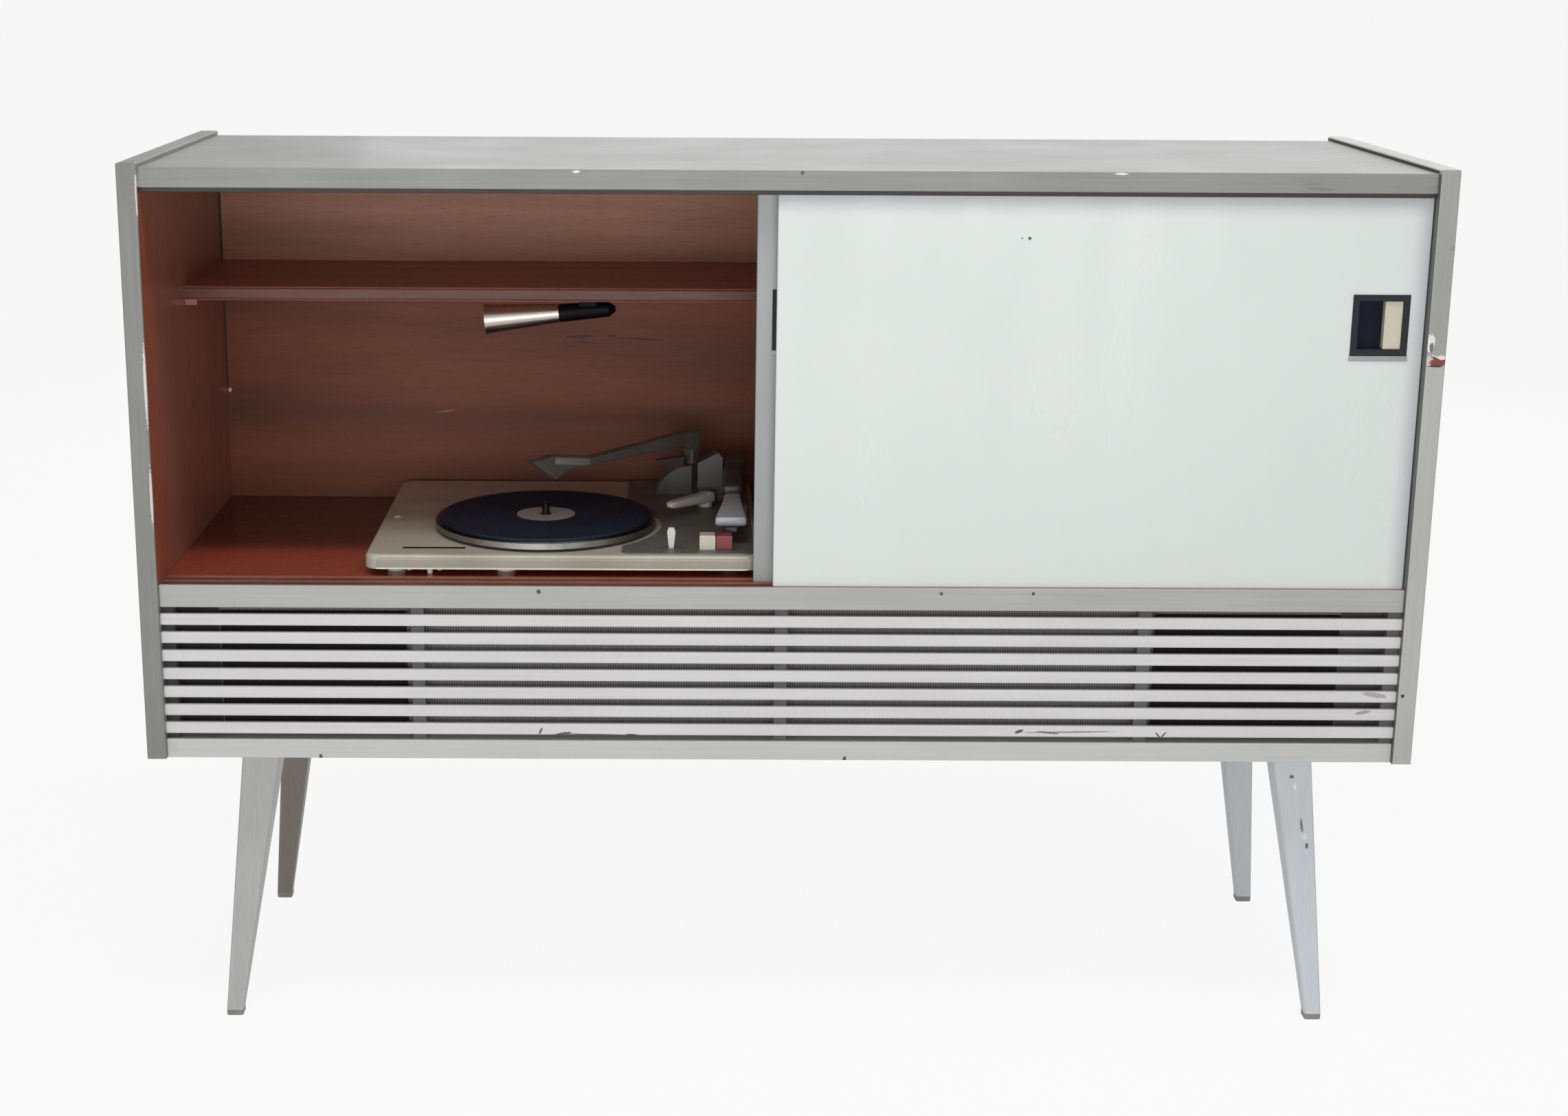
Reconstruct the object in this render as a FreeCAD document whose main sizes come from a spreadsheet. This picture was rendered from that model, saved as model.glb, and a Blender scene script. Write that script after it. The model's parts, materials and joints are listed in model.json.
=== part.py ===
"""Radiogram console on four splayed legs, modelled as a parametric document.

The origin is on the floor under the middle of the case, +X to the right, +Y to the back and +Z up. Every
size is in millimetres or degrees. A left bay holds a record changer under a shelf with a lamp, a right bay
holds the radio, and two doors slide across both. The loudspeakers sit behind a slatted grille below.
"""
import FreeCAD
import Part
import Sketcher
import os
import re

SIZES = {
    # Case boards
    "case_width": 1200, "case_depth": 385, "case_height": 560, "leg_height": 280,
    "side_thickness": 18, "top_thickness": 18, "top_setdown": 4, "floor_thickness": 21.5,
    "bottom_thickness": 18.5, "grille_height": 130, "rail_setback": 6, "partition_thickness": 18,
    "back_thickness": 5, "back_setin": 4, "back_margin": 3, "rebate_width": 9, "board_fit": 0.3,
    "arris_radius": 1.5,
    # Back panel: vents, lead hole and screws
    "vent_length": 150, "vent_width": 7, "vent_pitch": 24, "vent_rise": 70, "speaker_vent_rise": 29,
    "lead_radius": 6, "lead_height": 40, "lead_inset": 120, "grommet_lip": 3, "grommet_thickness": 2.5,
    "lead_bore": 3.5, "screw_radius": 3.5, "screw_head": 1.6, "screw_edge": 22,
    # Shelves
    "shelf_rise": 256, "shelf_thickness": 13.5, "shelf_setback": 133, "shelf_arris": 3,
    "cleat_width": 12, "cleat_height": 6, "cleat_setback": 7,
    # Grille and loudspeakers
    "slat_height": 11.05, "slat_depth": 5, "slat_foot": 5.5, "slat_arris": 1.5, "batten_width": 12,
    "batten_depth": 15,
    "baffle_thickness": 9, "speaker_inset": 158, "speaker_opening": 50, "cloth_width": 176,
    "cloth_height": 114, "cloth_thickness": 0.8, "flange_width": 10, "flange_thickness": 2,
    "basket_depth": 34, "magnet_radius": 33, "magnet_length": 20, "coil_radius": 15,
    "cone_thickness": 0.8, "cone_gap": 0.8, "dust_cap": 7, "dust_cap_shoulder": 5.6,
    "window_width": 28, "window_low": 8, "window_high": 24,
    # Sliding doors, their tracks and flush pulls
    "door_thickness": 10, "door_gap": 5, "door_setback": 5.5, "door_overlap": 17, "door_side_gap": 0.5,
    "left_door_edge": -26.5, "groove_clearance": 0.5, "groove_depth": 5, "door_lift": 0.3,
    "door_engagement": 6, "track_wall": 2.5, "lower_track_height": 8, "upper_track_drop": 4,
    "upper_track_sink": 9, "upper_groove_depth": 11.5, "pull_width": 52, "pull_height": 56,
    "pull_rim": 6, "pull_flange": 1.5, "pull_wall": 1.5, "pull_inset": 14.5, "pull_rise": 248.5,
    "pull_skin": 1.2, "pull_plate_width": 16, "pull_plate_setback": 2.2, "pull_round": 0.8,
    # Legs
    "leg_inset": 100, "leg_depth_inset": 72.5, "leg_top_size": 38, "leg_foot_size": 16, "leg_arris": 1.5,
    "leg_splay_side": 35, "leg_splay_depth": 30, "leg_tip_height": 6, "leg_plate_size": 62,
    "leg_plate_thickness": 2.5, "leg_bolt_radius": 4, "leg_bolt_rise": 14, "leg_bolt_depth": 32,
    "bolt_clearance": 0.1, "plate_screw_radius": 3.6, "plate_screw_head": 1.6, "plate_screw_spread": 25,
    # Changer deck
    "deck_width": 375, "deck_depth": 325, "deck_gap": 11, "deck_setback": 1, "deck_lift": 7,
    "deck_height": 14, "deck_wall": 2, "deck_corner": 16, "deck_edge": 5, "deck_slot_length": 60,
    "deck_slot_width": 7, "deck_slot_left": 34, "deck_slot_front": 25, "panel_thickness": 1.6,
    "panel_width": 126, "panel_corner": 12, "panel_platter_gap": 6, "mount_radius": 9, "mount_inset": 28,
    "mount_middle": 133, "mount_behind_buttons": 66, "mount_neck": 5, "mount_neck_height": 5,
    "stem_reach": 6, "peg_radius": 2.6, "peg_bevel": 0.8, "peg_inset": 11, "peg_first": 42,
    "peg_second": 61.5, "peg_third": 70.5, "peg_clear": 3.5,
    # Platter and its drive
    "platter_side": -21.5, "platter_back": -43.5, "platter_radius": 109, "platter_rise": 10,
    "platter_wall": 2.2, "platter_rim_gap": 3, "platter_roll": 1.2, "mat_radius": 104.5,
    "mat_thickness": 2.5, "mat_groove_first": 36, "mat_groove_pitch": 6.2, "mat_groove_width": 2.2,
    "mat_groove_depth": 0.6, "centre_radius": 29, "centre_gap": 0.4, "hub_radius": 12, "bearing_radius": 6,
    "running_gap": 0.1, "spindle_radius": 3.6, "spindle_rise": 12, "idler_radius": 20,
    "idler_thickness": 4, "idler_angle": 135, "idler_shaft": 2, "idler_clear": 1.2, "contact_gap": 0.1,
    "pulley_angle": 20, "pulley_radius": 4, "pulley_step": 1.2, "pulley_step_height": 1.3,
    "shaft_radius": 1.6, "pulley_hole": 8, "motor_radius": 34, "motor_length": 42, "motor_collar": 14,
    "motor_collar_length": 8, "lamination_size": 64, "lamination_thickness": 16, "motor_opening": 104,
    # Pickup arm, its turret and rest
    "turret_side": 153.5, "turret_back": 71.5, "turret_radius": 17, "turret_height": 9, "turret_gap": 0.4,
    "turret_stem": 5, "cheek_outer": 24, "pin_seat": 12, "cheek_front": 16, "cheek_back": 14,
    "cheek_rise": 52, "cheek_slope": 11, "cheek_crest": 5, "arm_pivot_height": 28, "pivot_radius": 2,
    "arm_side": 13.5, "arm_lean": 6.5, "arm_side_gap": 0.6, "tail_width": 22, "tail_radius": 17,
    "arm_root_width": 12, "arm_root_height": 12, "arm_neck": 40, "arm_neck_width": 11,
    "arm_neck_height": 9, "arm_neck_rise": 2, "arm_shoulder": 120, "arm_shoulder_width": 18,
    "arm_shoulder_height": 10, "head_length": 200, "head_width": 31, "head_height": 11,
    "head_nose": 8, "head_front": 7,
    "head_clearance": 6.5, "arm_bevel": 1.5, "hood_back": 4, "hood_front": 96,
    "hood_width": 20, "hood_top": 14, "hood_front_top": 9, "hood_depth": 17, "hood_front_depth": 12,
    "hood_bevel": 4, "stylus_reach": 186, "cartridge_length": 20,
    "cartridge_width": 11, "stylus_gap": 0.6, "stylus_length": 1.6, "stylus_radius": 1.2,
    "rest_reach": 128, "rest_stem": 4, "rest_left": 20, "rest_prong_side": 20, "rest_prong": 4,
    "rest_prong_rise": 7, "rest_length": 9, "rest_gap": 0.4, "rest_web": 3,
    # Overhead arm that steadies the records
    "post_side": 123.5, "post_back": 111.5, "post_foot_radius": 13, "post_foot_height": 12,
    "post_radius": 6.5, "post_height": 34, "cowl_radius": 38, "cowl_sink": 8, "cowl_front": 18,
    "cowl_back": 18, "finger_reach": 38, "finger_root": 8, "finger_front": 16, "finger_back": 10,
    "finger_tip_height": 35.5, "finger_top_height": 39.5, "finger_low": 27, "finger_heel": 21,
    "finger_heel_height": 21,
    "overarm_stem": 3.4, "overarm_stem_length": 12, "overarm_top": 65.5,
    "overarm_leg": 13, "overarm_width": 13, "overarm_depth": 14, "overarm_haunch": 13, "overarm_neck": 150,
    "overarm_dip": 6, "overarm_neck_depth": 8, "overarm_reach": 234, "head_crown": 69, "head_crown_reach": 203,
    "overarm_tip": 67, "beak_reach": 202, "beak_height": 44.5, "beak_root": 186, "overarm_round": 2,
    "overarm_seat_gap": 0.3,
    # Changer controls
    "control_row": -136.5, "button_width": 15, "button_length": 16, "button_rise": 14, "button_depth": 8,
    "start_side": 138, "stop_side": 154, "button_gap": 0.4, "button_crown": 1.5, "speed_side": 103.5,
    "speed_width": 8, "speed_thickness": 4, "speed_rise": 20, "speed_tip": 5.4, "speed_left": 12,
    "speed_right": 6, "size_side": 137.5, "size_back": 37.5, "size_length": 61, "size_angle": 231.6,
    "size_root": 15, "size_root_height": 12, "size_spoon": 12, "size_spoon_height": 8, "size_tip": 7,
    "size_tip_height": 4, "spoon_length": 10, "size_boss": 7, "size_bevel": 1.6, "size_stem": 2.5,
    "size_top": 15.4,
    # Lamp under the left shelf
    "lamp_side": -81.5, "lamp_back": -5.5, "lamp_tilt": 5, "lamp_drop": 21, "shade_mouth": 14.5,
    "shade_neck": 9, "shade_length": 73, "shade_wall": 1, "shade_bead": 0.8, "holder_length": 56,
    "holder_chamfer": 6.5, "holder_taper": 1.5, "holder_lip": 1,
    "socket_depth": 12, "bulb_cap": 5.5, "bulb_fit": 0.2, "bulb_radius": 6.8, "bulb_length": 30,
    "bulb_neck": 6, "bracket_width": 12, "bracket_length": 16,
    # Radio in the right bay
    "fascia_height": 200, "fascia_thickness": 16, "fascia_setback": 36, "dial_width": 380, "dial_height": 84,
    "dial_rise": 100, "dial_depth": 11, "dial_ledge": 5, "glass_thickness": 3, "pointer_width": 1.6,
    "pointer_margin": 3, "pointer_thickness": 1.2, "carriage_width": 14, "carriage_height": 6,
    "pointer_clear": 0.3, "knob_rise": 52, "knob_spread": 170, "knob_radius": 22, "knob_depth": 22,
    "knob_rim": 3, "knob_gap": 0.5, "knob_shaft": 3, "knob_skirt": 5, "flute_radius": 1.7,
    "flute_standoff": 0.5, "chassis_width": 440,
    "chassis_depth": 210, "chassis_height": 52, "chassis_wall": 1.6, "chassis_back": 8,
    "transformer_size": 72, "transformer_height": 66, "stack_share": 22, "bell_inset": 7, "valve_radius": 11,
    "valve_height": 58, "valve_pip": 2.5, "socket_rim": 3, "socket_height": 9, "valve_pitch": 48,
    "valve_inset": 44, "gang_size": 46, "gang_height": 40, "gang_floor": 8, "vane_width": 3,
    "chassis_margin": 22,
}

# Places worked out from the sizes; each is an expression that the document binds to the sheet
HALF_INNER = "(case_width / 2 - side_thickness)"
FRONT = "(-case_depth / 2)"
BACK = "(case_depth / 2)"
RAIL_FRONT = f"({FRONT} + rail_setback)"
BACK_FACE = f"({BACK} - back_setin)"
BACK_INNER = f"({BACK_FACE} - back_thickness)"
BOTTOM_TOP = "(leg_height + bottom_thickness)"
FLOOR_UNDER = f"({BOTTOM_TOP} + grille_height)"
FLOOR_TOP = f"({FLOOR_UNDER} + floor_thickness)"
CASE_TOP = "(leg_height + case_height)"
TOP_FACE = f"({CASE_TOP} - top_setdown)"
TOP_UNDER = f"({TOP_FACE} - top_thickness)"
BACK_LOW = "(leg_height + back_margin)"
BACK_HIGH = f"({TOP_FACE} - back_margin)"
SHELF_TOP = f"({FLOOR_TOP} + shelf_rise)"
SHELF_UNDER = f"({SHELF_TOP} - shelf_thickness)"
HALF_PARTITION = "(partition_thickness / 2)"
FRONT_DOOR_FACE = f"({RAIL_FRONT} + door_setback)"
REAR_DOOR_FACE = f"({FRONT_DOOR_FACE} + door_thickness + door_gap)"
DOOR_WIDTH = f"({HALF_INNER} - door_side_gap + door_overlap / 2)"
DOOR_BOTTOM = f"({FLOOR_TOP} - groove_depth + door_lift)"
TRACK_LOW = f"({TOP_UNDER} - upper_track_drop)"
TRACK_HIGH = f"({TOP_UNDER} + upper_track_sink)"
DOOR_TOP = f"({TRACK_LOW} + door_engagement)"
TRACK_FRONT = f"({FRONT_DOOR_FACE} - groove_clearance - track_wall)"
TRACK_BACK = f"({REAR_DOOR_FACE} + door_thickness + groove_clearance + track_wall)"
SHELF_FRONT = f"({TRACK_BACK} + shelf_setback)"
SLAT_BACK = f"({RAIL_FRONT} + slat_depth)"
BAFFLE_FRONT = f"({SLAT_BACK} + batten_depth)"
BAFFLE_BACK = f"({BAFFLE_FRONT} + baffle_thickness)"
SPEAKER_X = "(case_width / 2 - speaker_inset)"
SPEAKER_Z = f"({BOTTOM_TOP} + grille_height / 2)"
LEG_X = "(case_width / 2 - leg_inset)"
LEG_Y = "(case_depth / 2 - leg_depth_inset)"
DECK_RIGHT = f"(-{HALF_PARTITION} - deck_gap)"
DECK_X = f"({DECK_RIGHT} - deck_width / 2)"
DECK_LEFT = f"({DECK_RIGHT} - deck_width)"
DECK_FRONT = f"({TRACK_BACK} + deck_setback)"
DECK_Y = f"({DECK_FRONT} + deck_depth / 2)"
DECK_BACK = f"({DECK_FRONT} + deck_depth)"
DECK_LOW = f"({FLOOR_TOP} + deck_lift)"
DECK_TOP = f"({DECK_LOW} + deck_height)"
DECK_SKIN = f"({DECK_TOP} - deck_wall)"
PANEL_TOP = f"({DECK_TOP} + panel_thickness)"
PLATTER_X = f"({DECK_X} + platter_side)"
PLATTER_Y = f"({DECK_Y} + platter_back)"
PLATTER_TOP = f"({DECK_TOP} + platter_rise)"
MAT_TOP = f"({PLATTER_TOP} + mat_thickness)"
RIM_INNER = "(platter_radius - platter_wall)"
IDLER_ARM = f"({RIM_INNER} - contact_gap - idler_radius)"
IDLER_X = f"({PLATTER_X} + {IDLER_ARM} * cos(idler_angle * 1deg))"
IDLER_Y = f"({PLATTER_Y} + {IDLER_ARM} * sin(idler_angle * 1deg))"
PULLEY_ARM = "(idler_radius + contact_gap + pulley_radius)"
PULLEY_X = f"({IDLER_X} + {PULLEY_ARM} * cos(pulley_angle * 1deg))"
PULLEY_Y = f"({IDLER_Y} + {PULLEY_ARM} * sin(pulley_angle * 1deg))"
TURRET_X = f"({DECK_X} + turret_side)"
TURRET_Y = f"({DECK_Y} + turret_back)"
PIVOT_Z = f"({PANEL_TOP} + arm_pivot_height)"
ARM_X = f"({TURRET_X} + arm_side)"
ARM_UNDER = f"({MAT_TOP} + head_clearance)"
POST_X = f"({DECK_X} + post_side)"
POST_Y = f"({DECK_Y} + post_back)"
CONTROL_Y = f"({DECK_Y} + control_row)"
SIZE_X = f"({DECK_X} + size_side)"
SIZE_Y = f"({DECK_Y} + size_back)"
LAMP_X = f"({DECK_X} + lamp_side)"
LAMP_Y = f"({DECK_Y} + lamp_back)"
LAMP_Z = f"({SHELF_UNDER} - lamp_drop)"
BAY_X = f"(({HALF_INNER} + {HALF_PARTITION}) / 2)"
FASCIA_FRONT = f"({TRACK_BACK} + fascia_setback)"
FASCIA_BACK = f"({FASCIA_FRONT} + fascia_thickness)"
DIAL_LOW = f"({FLOOR_TOP} + dial_rise)"
DIAL_HIGH = f"({DIAL_LOW} + dial_height)"
DIAL_FLOOR = f"({FASCIA_FRONT} + dial_depth)"
KNOB_Z = f"({FLOOR_TOP} + knob_rise)"

SLATS = 7
MAT_GROOVES = 10
KNOB_FLUTES = 18
GANG_VANES = 8
RADIO_VENTS = 5
SPEAKER_VENTS = 4
VALVES = 5
PLANES = {"x": "YZ_Plane", "y": "XZ_Plane", "z": "XY_Plane"}
AXES = {"x": FreeCAD.Vector(1, 0, 0), "y": FreeCAD.Vector(0, 1, 0), "z": FreeCAD.Vector(0, 0, 1)}
# Turns that lay an upright piece along +X, towards the front or towards the back
TO_RIGHT = FreeCAD.Rotation(AXES["y"], 90)
TO_FRONT = FreeCAD.Rotation(AXES["x"], 90)
TO_BACK = FreeCAD.Rotation(AXES["x"], -90)
# A turn that hangs an upright piece from a surface above it
UNDER = FreeCAD.Rotation(AXES["x"], 180)
# A turn about the upright axis, whose angle an expression sets
ABOUT_UPRIGHT = FreeCAD.Rotation(AXES["z"], 90)

doc = FreeCAD.newDocument("radiogram")
sheet = doc.addObject("Spreadsheet::Sheet", "Sizes")
for row, (alias, number) in enumerate(SIZES.items(), start=1):
    sheet.set(f"A{row}", alias)
    sheet.set(f"B{row}", str(number))
    sheet.setAlias(f"B{row}", alias)
doc.recompute()
nodes = []


def expression(text):
    """Write each size's alias in text as a cell of the sheet."""
    return re.sub(r"[a-z_]+", lambda word: f"Sizes.{word[0]}" if word[0] in SIZES else word[0], text)


def value(text):
    """Give the present number of an expression, where a sketch needs a first guess."""
    return float(sheet.evalExpression(expression(text)))


def node(label, thing):
    """Name a finished sub-part, which is written to a file of that name."""
    thing.Label = label
    nodes.append(thing)
    return thing


def place(thing, x="0", y="0", z="0", turn=None):
    """Bind a piece's position to expressions, after an optional fixed turn."""
    if turn is not None:
        thing.Placement = FreeCAD.Placement(FreeCAD.Vector(), turn)
    for axis, text in zip("xyz", (x, y, z)):
        thing.setExpression(f"Placement.Base.{axis}", expression(text))
    return thing


def swing(thing, degrees):
    """Bind the angle of a piece's turn to an expression in degrees."""
    thing.setExpression("Placement.Rotation.Angle", expression(f"({degrees}) * 1deg"))
    return thing


def add_body():
    """Start an empty body."""
    return doc.addObject("PartDesign::Body", "Body")


def fix(sketch, kind, geometry, position, text):
    """Hold a sketch point at an expression's distance from the sketch origin."""
    rule = Sketcher.Constraint(kind, -1, 1, geometry, position, value(text))
    index = sketch.addConstraint(rule)
    sketch.setExpression(f"Constraints[{index}]", expression(text))


def add_polygon(sketch, points):
    """Draw a closed polygon whose corners are pairs of expressions."""
    first = sketch.GeometryCount
    count = len(points)
    corners = [FreeCAD.Vector(value(across), value(up), 0) for across, up in points]
    for start, end in zip(corners, corners[1:] + corners[:1]):
        sketch.addGeometry(Part.LineSegment(start, end))
    for i in range(count):
        sketch.addConstraint(Sketcher.Constraint("Coincident", first + i, 2, first + (i + 1) % count, 1))
    for i, (across, up) in enumerate(points):
        fix(sketch, "DistanceX", first + i, 1, across)
        fix(sketch, "DistanceY", first + i, 1, up)


def add_circle(sketch, across, up, radius):
    """Draw a circle from expressions for its centre and radius."""
    centre = FreeCAD.Vector(value(across), value(up), 0)
    index = sketch.addGeometry(Part.Circle(centre, AXES["z"], value(radius)))
    fix(sketch, "DistanceX", index, 3, across)
    fix(sketch, "DistanceY", index, 3, up)
    rule = sketch.addConstraint(Sketcher.Constraint("Radius", index, value(radius)))
    sketch.setExpression(f"Constraints[{rule}]", expression(radius))


def add_sketch(body, along, level, loops):
    """Sketch loops square to an axis at a level: lists are polygons and tuples are circles."""
    plane = next(item for item in body.Origin.OriginFeatures if item.Role == PLANES[along])
    sketch = body.newObject("Sketcher::SketchObject", "Sketch")
    sketch.AttachmentSupport = [(plane, "")]
    sketch.MapMode = "FlatFace"
    # The upright front plane looks towards -Y, so its levels count backwards
    offset = f"-({level})" if along == "y" else level
    sketch.setExpression("AttachmentOffset.Base.z", expression(offset))
    for loop in loops:
        if isinstance(loop, tuple):
            add_circle(sketch, *loop)
        else:
            add_polygon(sketch, loop)
    return sketch


def pad(body, along, low, high, *loops):
    """Add the loops to a body between two levels along an axis."""
    start = high if along == "y" else low
    feature = body.newObject("PartDesign::Pad", "Pad")
    feature.Profile = add_sketch(body, along, start, loops)
    feature.setExpression("Length", expression(f"({high}) - ({low})"))
    body.Tip = feature
    return body


def pocket(body, along, low, high, *loops):
    """Cut the loops out of a body between two levels along an axis."""
    start = low if along == "y" else high
    feature = body.newObject("PartDesign::Pocket", "Pocket")
    feature.Profile = add_sketch(body, along, start, loops)
    feature.setExpression("Length", expression(f"({high}) - ({low})"))
    body.Tip = feature
    return body


def round_edges(body, radius, chosen):
    """Fillet those edges of a body's present shape for which chosen(edge) holds."""
    doc.recompute()
    base = body.Tip
    names = [f"Edge{i}" for i, edge in enumerate(base.Shape.Edges, start=1) if chosen(edge)]
    feature = body.newObject("PartDesign::Fillet", "Fillet")
    feature.Base = (base, names)
    feature.setExpression("Radius", expression(radius))
    body.Tip = feature
    return body


def revolve(*profile):
    """Turn a profile of (radius, height) points about the upright axis."""
    body = add_body()
    sketch = add_sketch(body, "y", "0", [list(profile)])
    feature = body.newObject("PartDesign::Revolution", "Revolution")
    feature.Profile = sketch
    feature.ReferenceAxis = (sketch, ["V_Axis"])
    feature.Angle = 360
    body.Tip = feature
    return body


def loft(along, *sections):
    """Loft through (level, polygon) sections square to an axis."""
    body = add_body()
    sketches = [add_sketch(body, along, level, [points]) for level, points in sections]
    feature = body.newObject("PartDesign::AdditiveLoft", "Loft")
    feature.Profile = sketches[0]
    feature.Sections = sketches[1:]
    feature.Ruled = True
    body.Tip = feature
    return body


def rectangle(left, right, low, high):
    """Corner points of a rectangle between four expressions."""
    return [(left, low), (right, low), (right, high), (left, high)]


def bevelled(across, up, width, height, bevel):
    """Corner points of a rectangle about a centre, with its corners cut off."""
    x, y = f"({width}) / 2", f"({height}) / 2"
    signs = ((-1, -1), (1, -1), (1, 1), (-1, 1))
    points = []
    for sx, sy in signs:
        along = (f"{across} + {sx} * ({x} - {bevel})", f"{up} + {sy} * {y}")
        beside = (f"{across} + {sx} * {x}", f"{up} + {sy} * ({y} - {bevel})")
        points += [along, beside] if sx * sy < 0 else [beside, along]
    return points


def box(x, y, z):
    """Block between three pairs of levels."""
    block = doc.addObject("Part::Box", "Block")
    for size, (low, high) in zip(("Length", "Width", "Height"), (x, y, z)):
        block.setExpression(size, expression(f"({high}) - ({low})"))
    return place(block, x[0], y[0], z[0])


def rod(radius, length, x, y, z, turn=None):
    """Cylinder that starts at a point and stands upright unless turned."""
    cylinder = doc.addObject("Part::Cylinder", "Rod")
    cylinder.setExpression("Radius", expression(radius))
    cylinder.setExpression("Height", expression(length))
    return place(cylinder, x, y, z, turn)


def fuse(*members):
    """Join pieces into one solid."""
    joined = doc.addObject("Part::MultiFuse", "Fusion")
    joined.Shapes = list(members)
    joined.Refine = True
    return joined


def cut(base, *tools):
    """Take the tools out of a base."""
    result = doc.addObject("Part::Cut", "Cut")
    result.Base = base
    result.Tool = tools[0] if len(tools) == 1 else fuse(*tools)
    return result


def common(base, tool):
    """Keep what two pieces share."""
    result = doc.addObject("Part::Common", "Common")
    result.Base = base
    result.Tool = tool
    return result


def together(members):
    """Keep separate solids of one kind in one sub-part."""
    group = doc.addObject("Part::Compound", "Group")
    group.Links = list(members)
    return group


def upright(edge):
    """Tell whether an edge runs straight up."""
    ends = edge.Vertexes
    if len(ends) < 2:
        return False
    run = ends[1].Point - ends[0].Point
    return abs(run.z) > 0.999 * run.Length


def level_at(text, axis="z"):
    """Make a test for edges that lie wholly at one level along an axis."""
    level = value(text)

    def lies_there(edge):
        box_of_edge = edge.BoundBox
        low = getattr(box_of_edge, f"{axis.upper()}Min")
        high = getattr(box_of_edge, f"{axis.upper()}Max")
        return abs(low - level) < 1e-4 and abs(high - level) < 1e-4

    return lies_there


def make_side_panels():
    """Side panels that stand proud of the boards between them, rebated for the back."""
    for label, side in (("side_panel_left", "-1"), ("side_panel_right", "1")):
        ends = [f"{side} * {HALF_INNER}", f"{side} * case_width / 2"]
        low, high = ends if side == "1" else ends[::-1]
        body = pad(add_body(), "x", low, high, rectangle(FRONT, BACK, "leg_height", CASE_TOP))
        rebate = f"{side} * ({HALF_INNER} + rebate_width)"
        pocket(body, "y", BACK_INNER, BACK, rectangle(ends[0], rebate, BACK_LOW, BACK_HIGH))
        at_front, at_top = level_at(FRONT, "y"), level_at(CASE_TOP)
        round_edges(body, "arris_radius", lambda edge: at_front(edge) or at_top(edge))
        node(label, body)


def make_top_panel():
    """Top board with a housing on its underside for the upper door track."""
    housing = f"{TOP_UNDER} + upper_track_sink"
    outline = [(RAIL_FRONT, TOP_UNDER), (TRACK_FRONT, TOP_UNDER), (TRACK_FRONT, housing),
               (TRACK_BACK, housing), (TRACK_BACK, TOP_UNDER), (BACK_INNER, TOP_UNDER),
               (BACK_INNER, TOP_FACE), (RAIL_FRONT, TOP_FACE)]
    node("top_panel", pad(add_body(), "x", f"-{HALF_INNER}", HALF_INNER, outline))


def make_compartment_floor():
    """Floor of both bays: its front edge is the middle rail, and the changer's motor hangs through it."""
    housing = f"{FLOOR_TOP} - lower_track_height"
    outline = [(RAIL_FRONT, FLOOR_UNDER), (BACK_INNER, FLOOR_UNDER), (BACK_INNER, FLOOR_TOP),
               (TRACK_BACK, FLOOR_TOP), (TRACK_BACK, housing), (TRACK_FRONT, housing),
               (TRACK_FRONT, FLOOR_TOP), (RAIL_FRONT, FLOOR_TOP)]
    body = pad(add_body(), "x", f"-{HALF_INNER}", HALF_INNER, outline)
    half = "motor_opening / 2"
    opening = rectangle(f"{PULLEY_X} - {half}", f"{PULLEY_X} + {half}",
                        f"{PULLEY_Y} - {half}", f"{PULLEY_Y} + {half}")
    node("compartment_floor", pocket(body, "z", FLOOR_UNDER, FLOOR_TOP, opening))


def leg_corners():
    """Signs of the four legs, with their labels."""
    return (("front_left", "-1", "-1"), ("front_right", "1", "-1"),
            ("rear_left", "-1", "1"), ("rear_right", "1", "1"))


def make_bottom_panel():
    """Bottom board, bored for the leg bolts."""
    body = pad(add_body(), "x", f"-{HALF_INNER}", HALF_INNER,
               rectangle(RAIL_FRONT, BACK_INNER, "leg_height", BOTTOM_TOP))
    holes = [(f"{sx} * {LEG_X}", f"{sy} * {LEG_Y}", "leg_bolt_radius + bolt_clearance")
             for _, sx, sy in leg_corners()]
    node("bottom_panel", pocket(body, "z", "leg_height", BOTTOM_TOP, *holes))


def vent_slots(middle, first, count):
    """Rows of level slots, one above the other, about a middle and from a first height."""
    slots = []
    for i in range(count):
        level = f"{first} + {i} * vent_pitch"
        slots.append(rectangle(f"{middle} - vent_length / 2", f"{middle} + vent_length / 2",
                               f"{level} - vent_width / 2", f"{level} + vent_width / 2"))
    return slots


def make_back_panel():
    """Back panel in the rebates, with vents behind the radio and the loudspeakers and a hole for the lead."""
    half = f"({HALF_INNER} + rebate_width - board_fit)"
    body = pad(add_body(), "y", BACK_INNER, BACK_FACE, rectangle(f"-{half}", half, BACK_LOW, BACK_HIGH))
    slots = vent_slots(BAY_X, f"{FLOOR_TOP} + vent_rise", RADIO_VENTS)
    for side in ("-1", "1"):
        slots += vent_slots(f"{side} * {SPEAKER_X}", f"{BOTTOM_TOP} + speaker_vent_rise", SPEAKER_VENTS)
    lead = (f"{HALF_INNER} - lead_inset", f"{FLOOR_TOP} + lead_height", "lead_radius")
    node("back_panel", pocket(body, "y", BACK_INNER, BACK_FACE, *slots, lead))


def make_lead_grommet():
    """Lipped bush in the back panel where the lead comes out."""
    lip = "lead_radius + grommet_lip"
    inside, outside = "-grommet_thickness", "back_thickness + grommet_thickness"
    sleeve = "lead_radius - board_fit / 2"
    bush = revolve(("lead_bore", inside), (lip, inside), (lip, "0"), (sleeve, "0"),
                   (sleeve, "back_thickness"), (lip, "back_thickness"), (lip, outside),
                   ("lead_bore", outside))
    place(bush, f"{HALF_INNER} - lead_inset", BACK_INNER, f"{FLOOR_TOP} + lead_height", TO_BACK)
    node("lead_grommet", bush)


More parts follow.
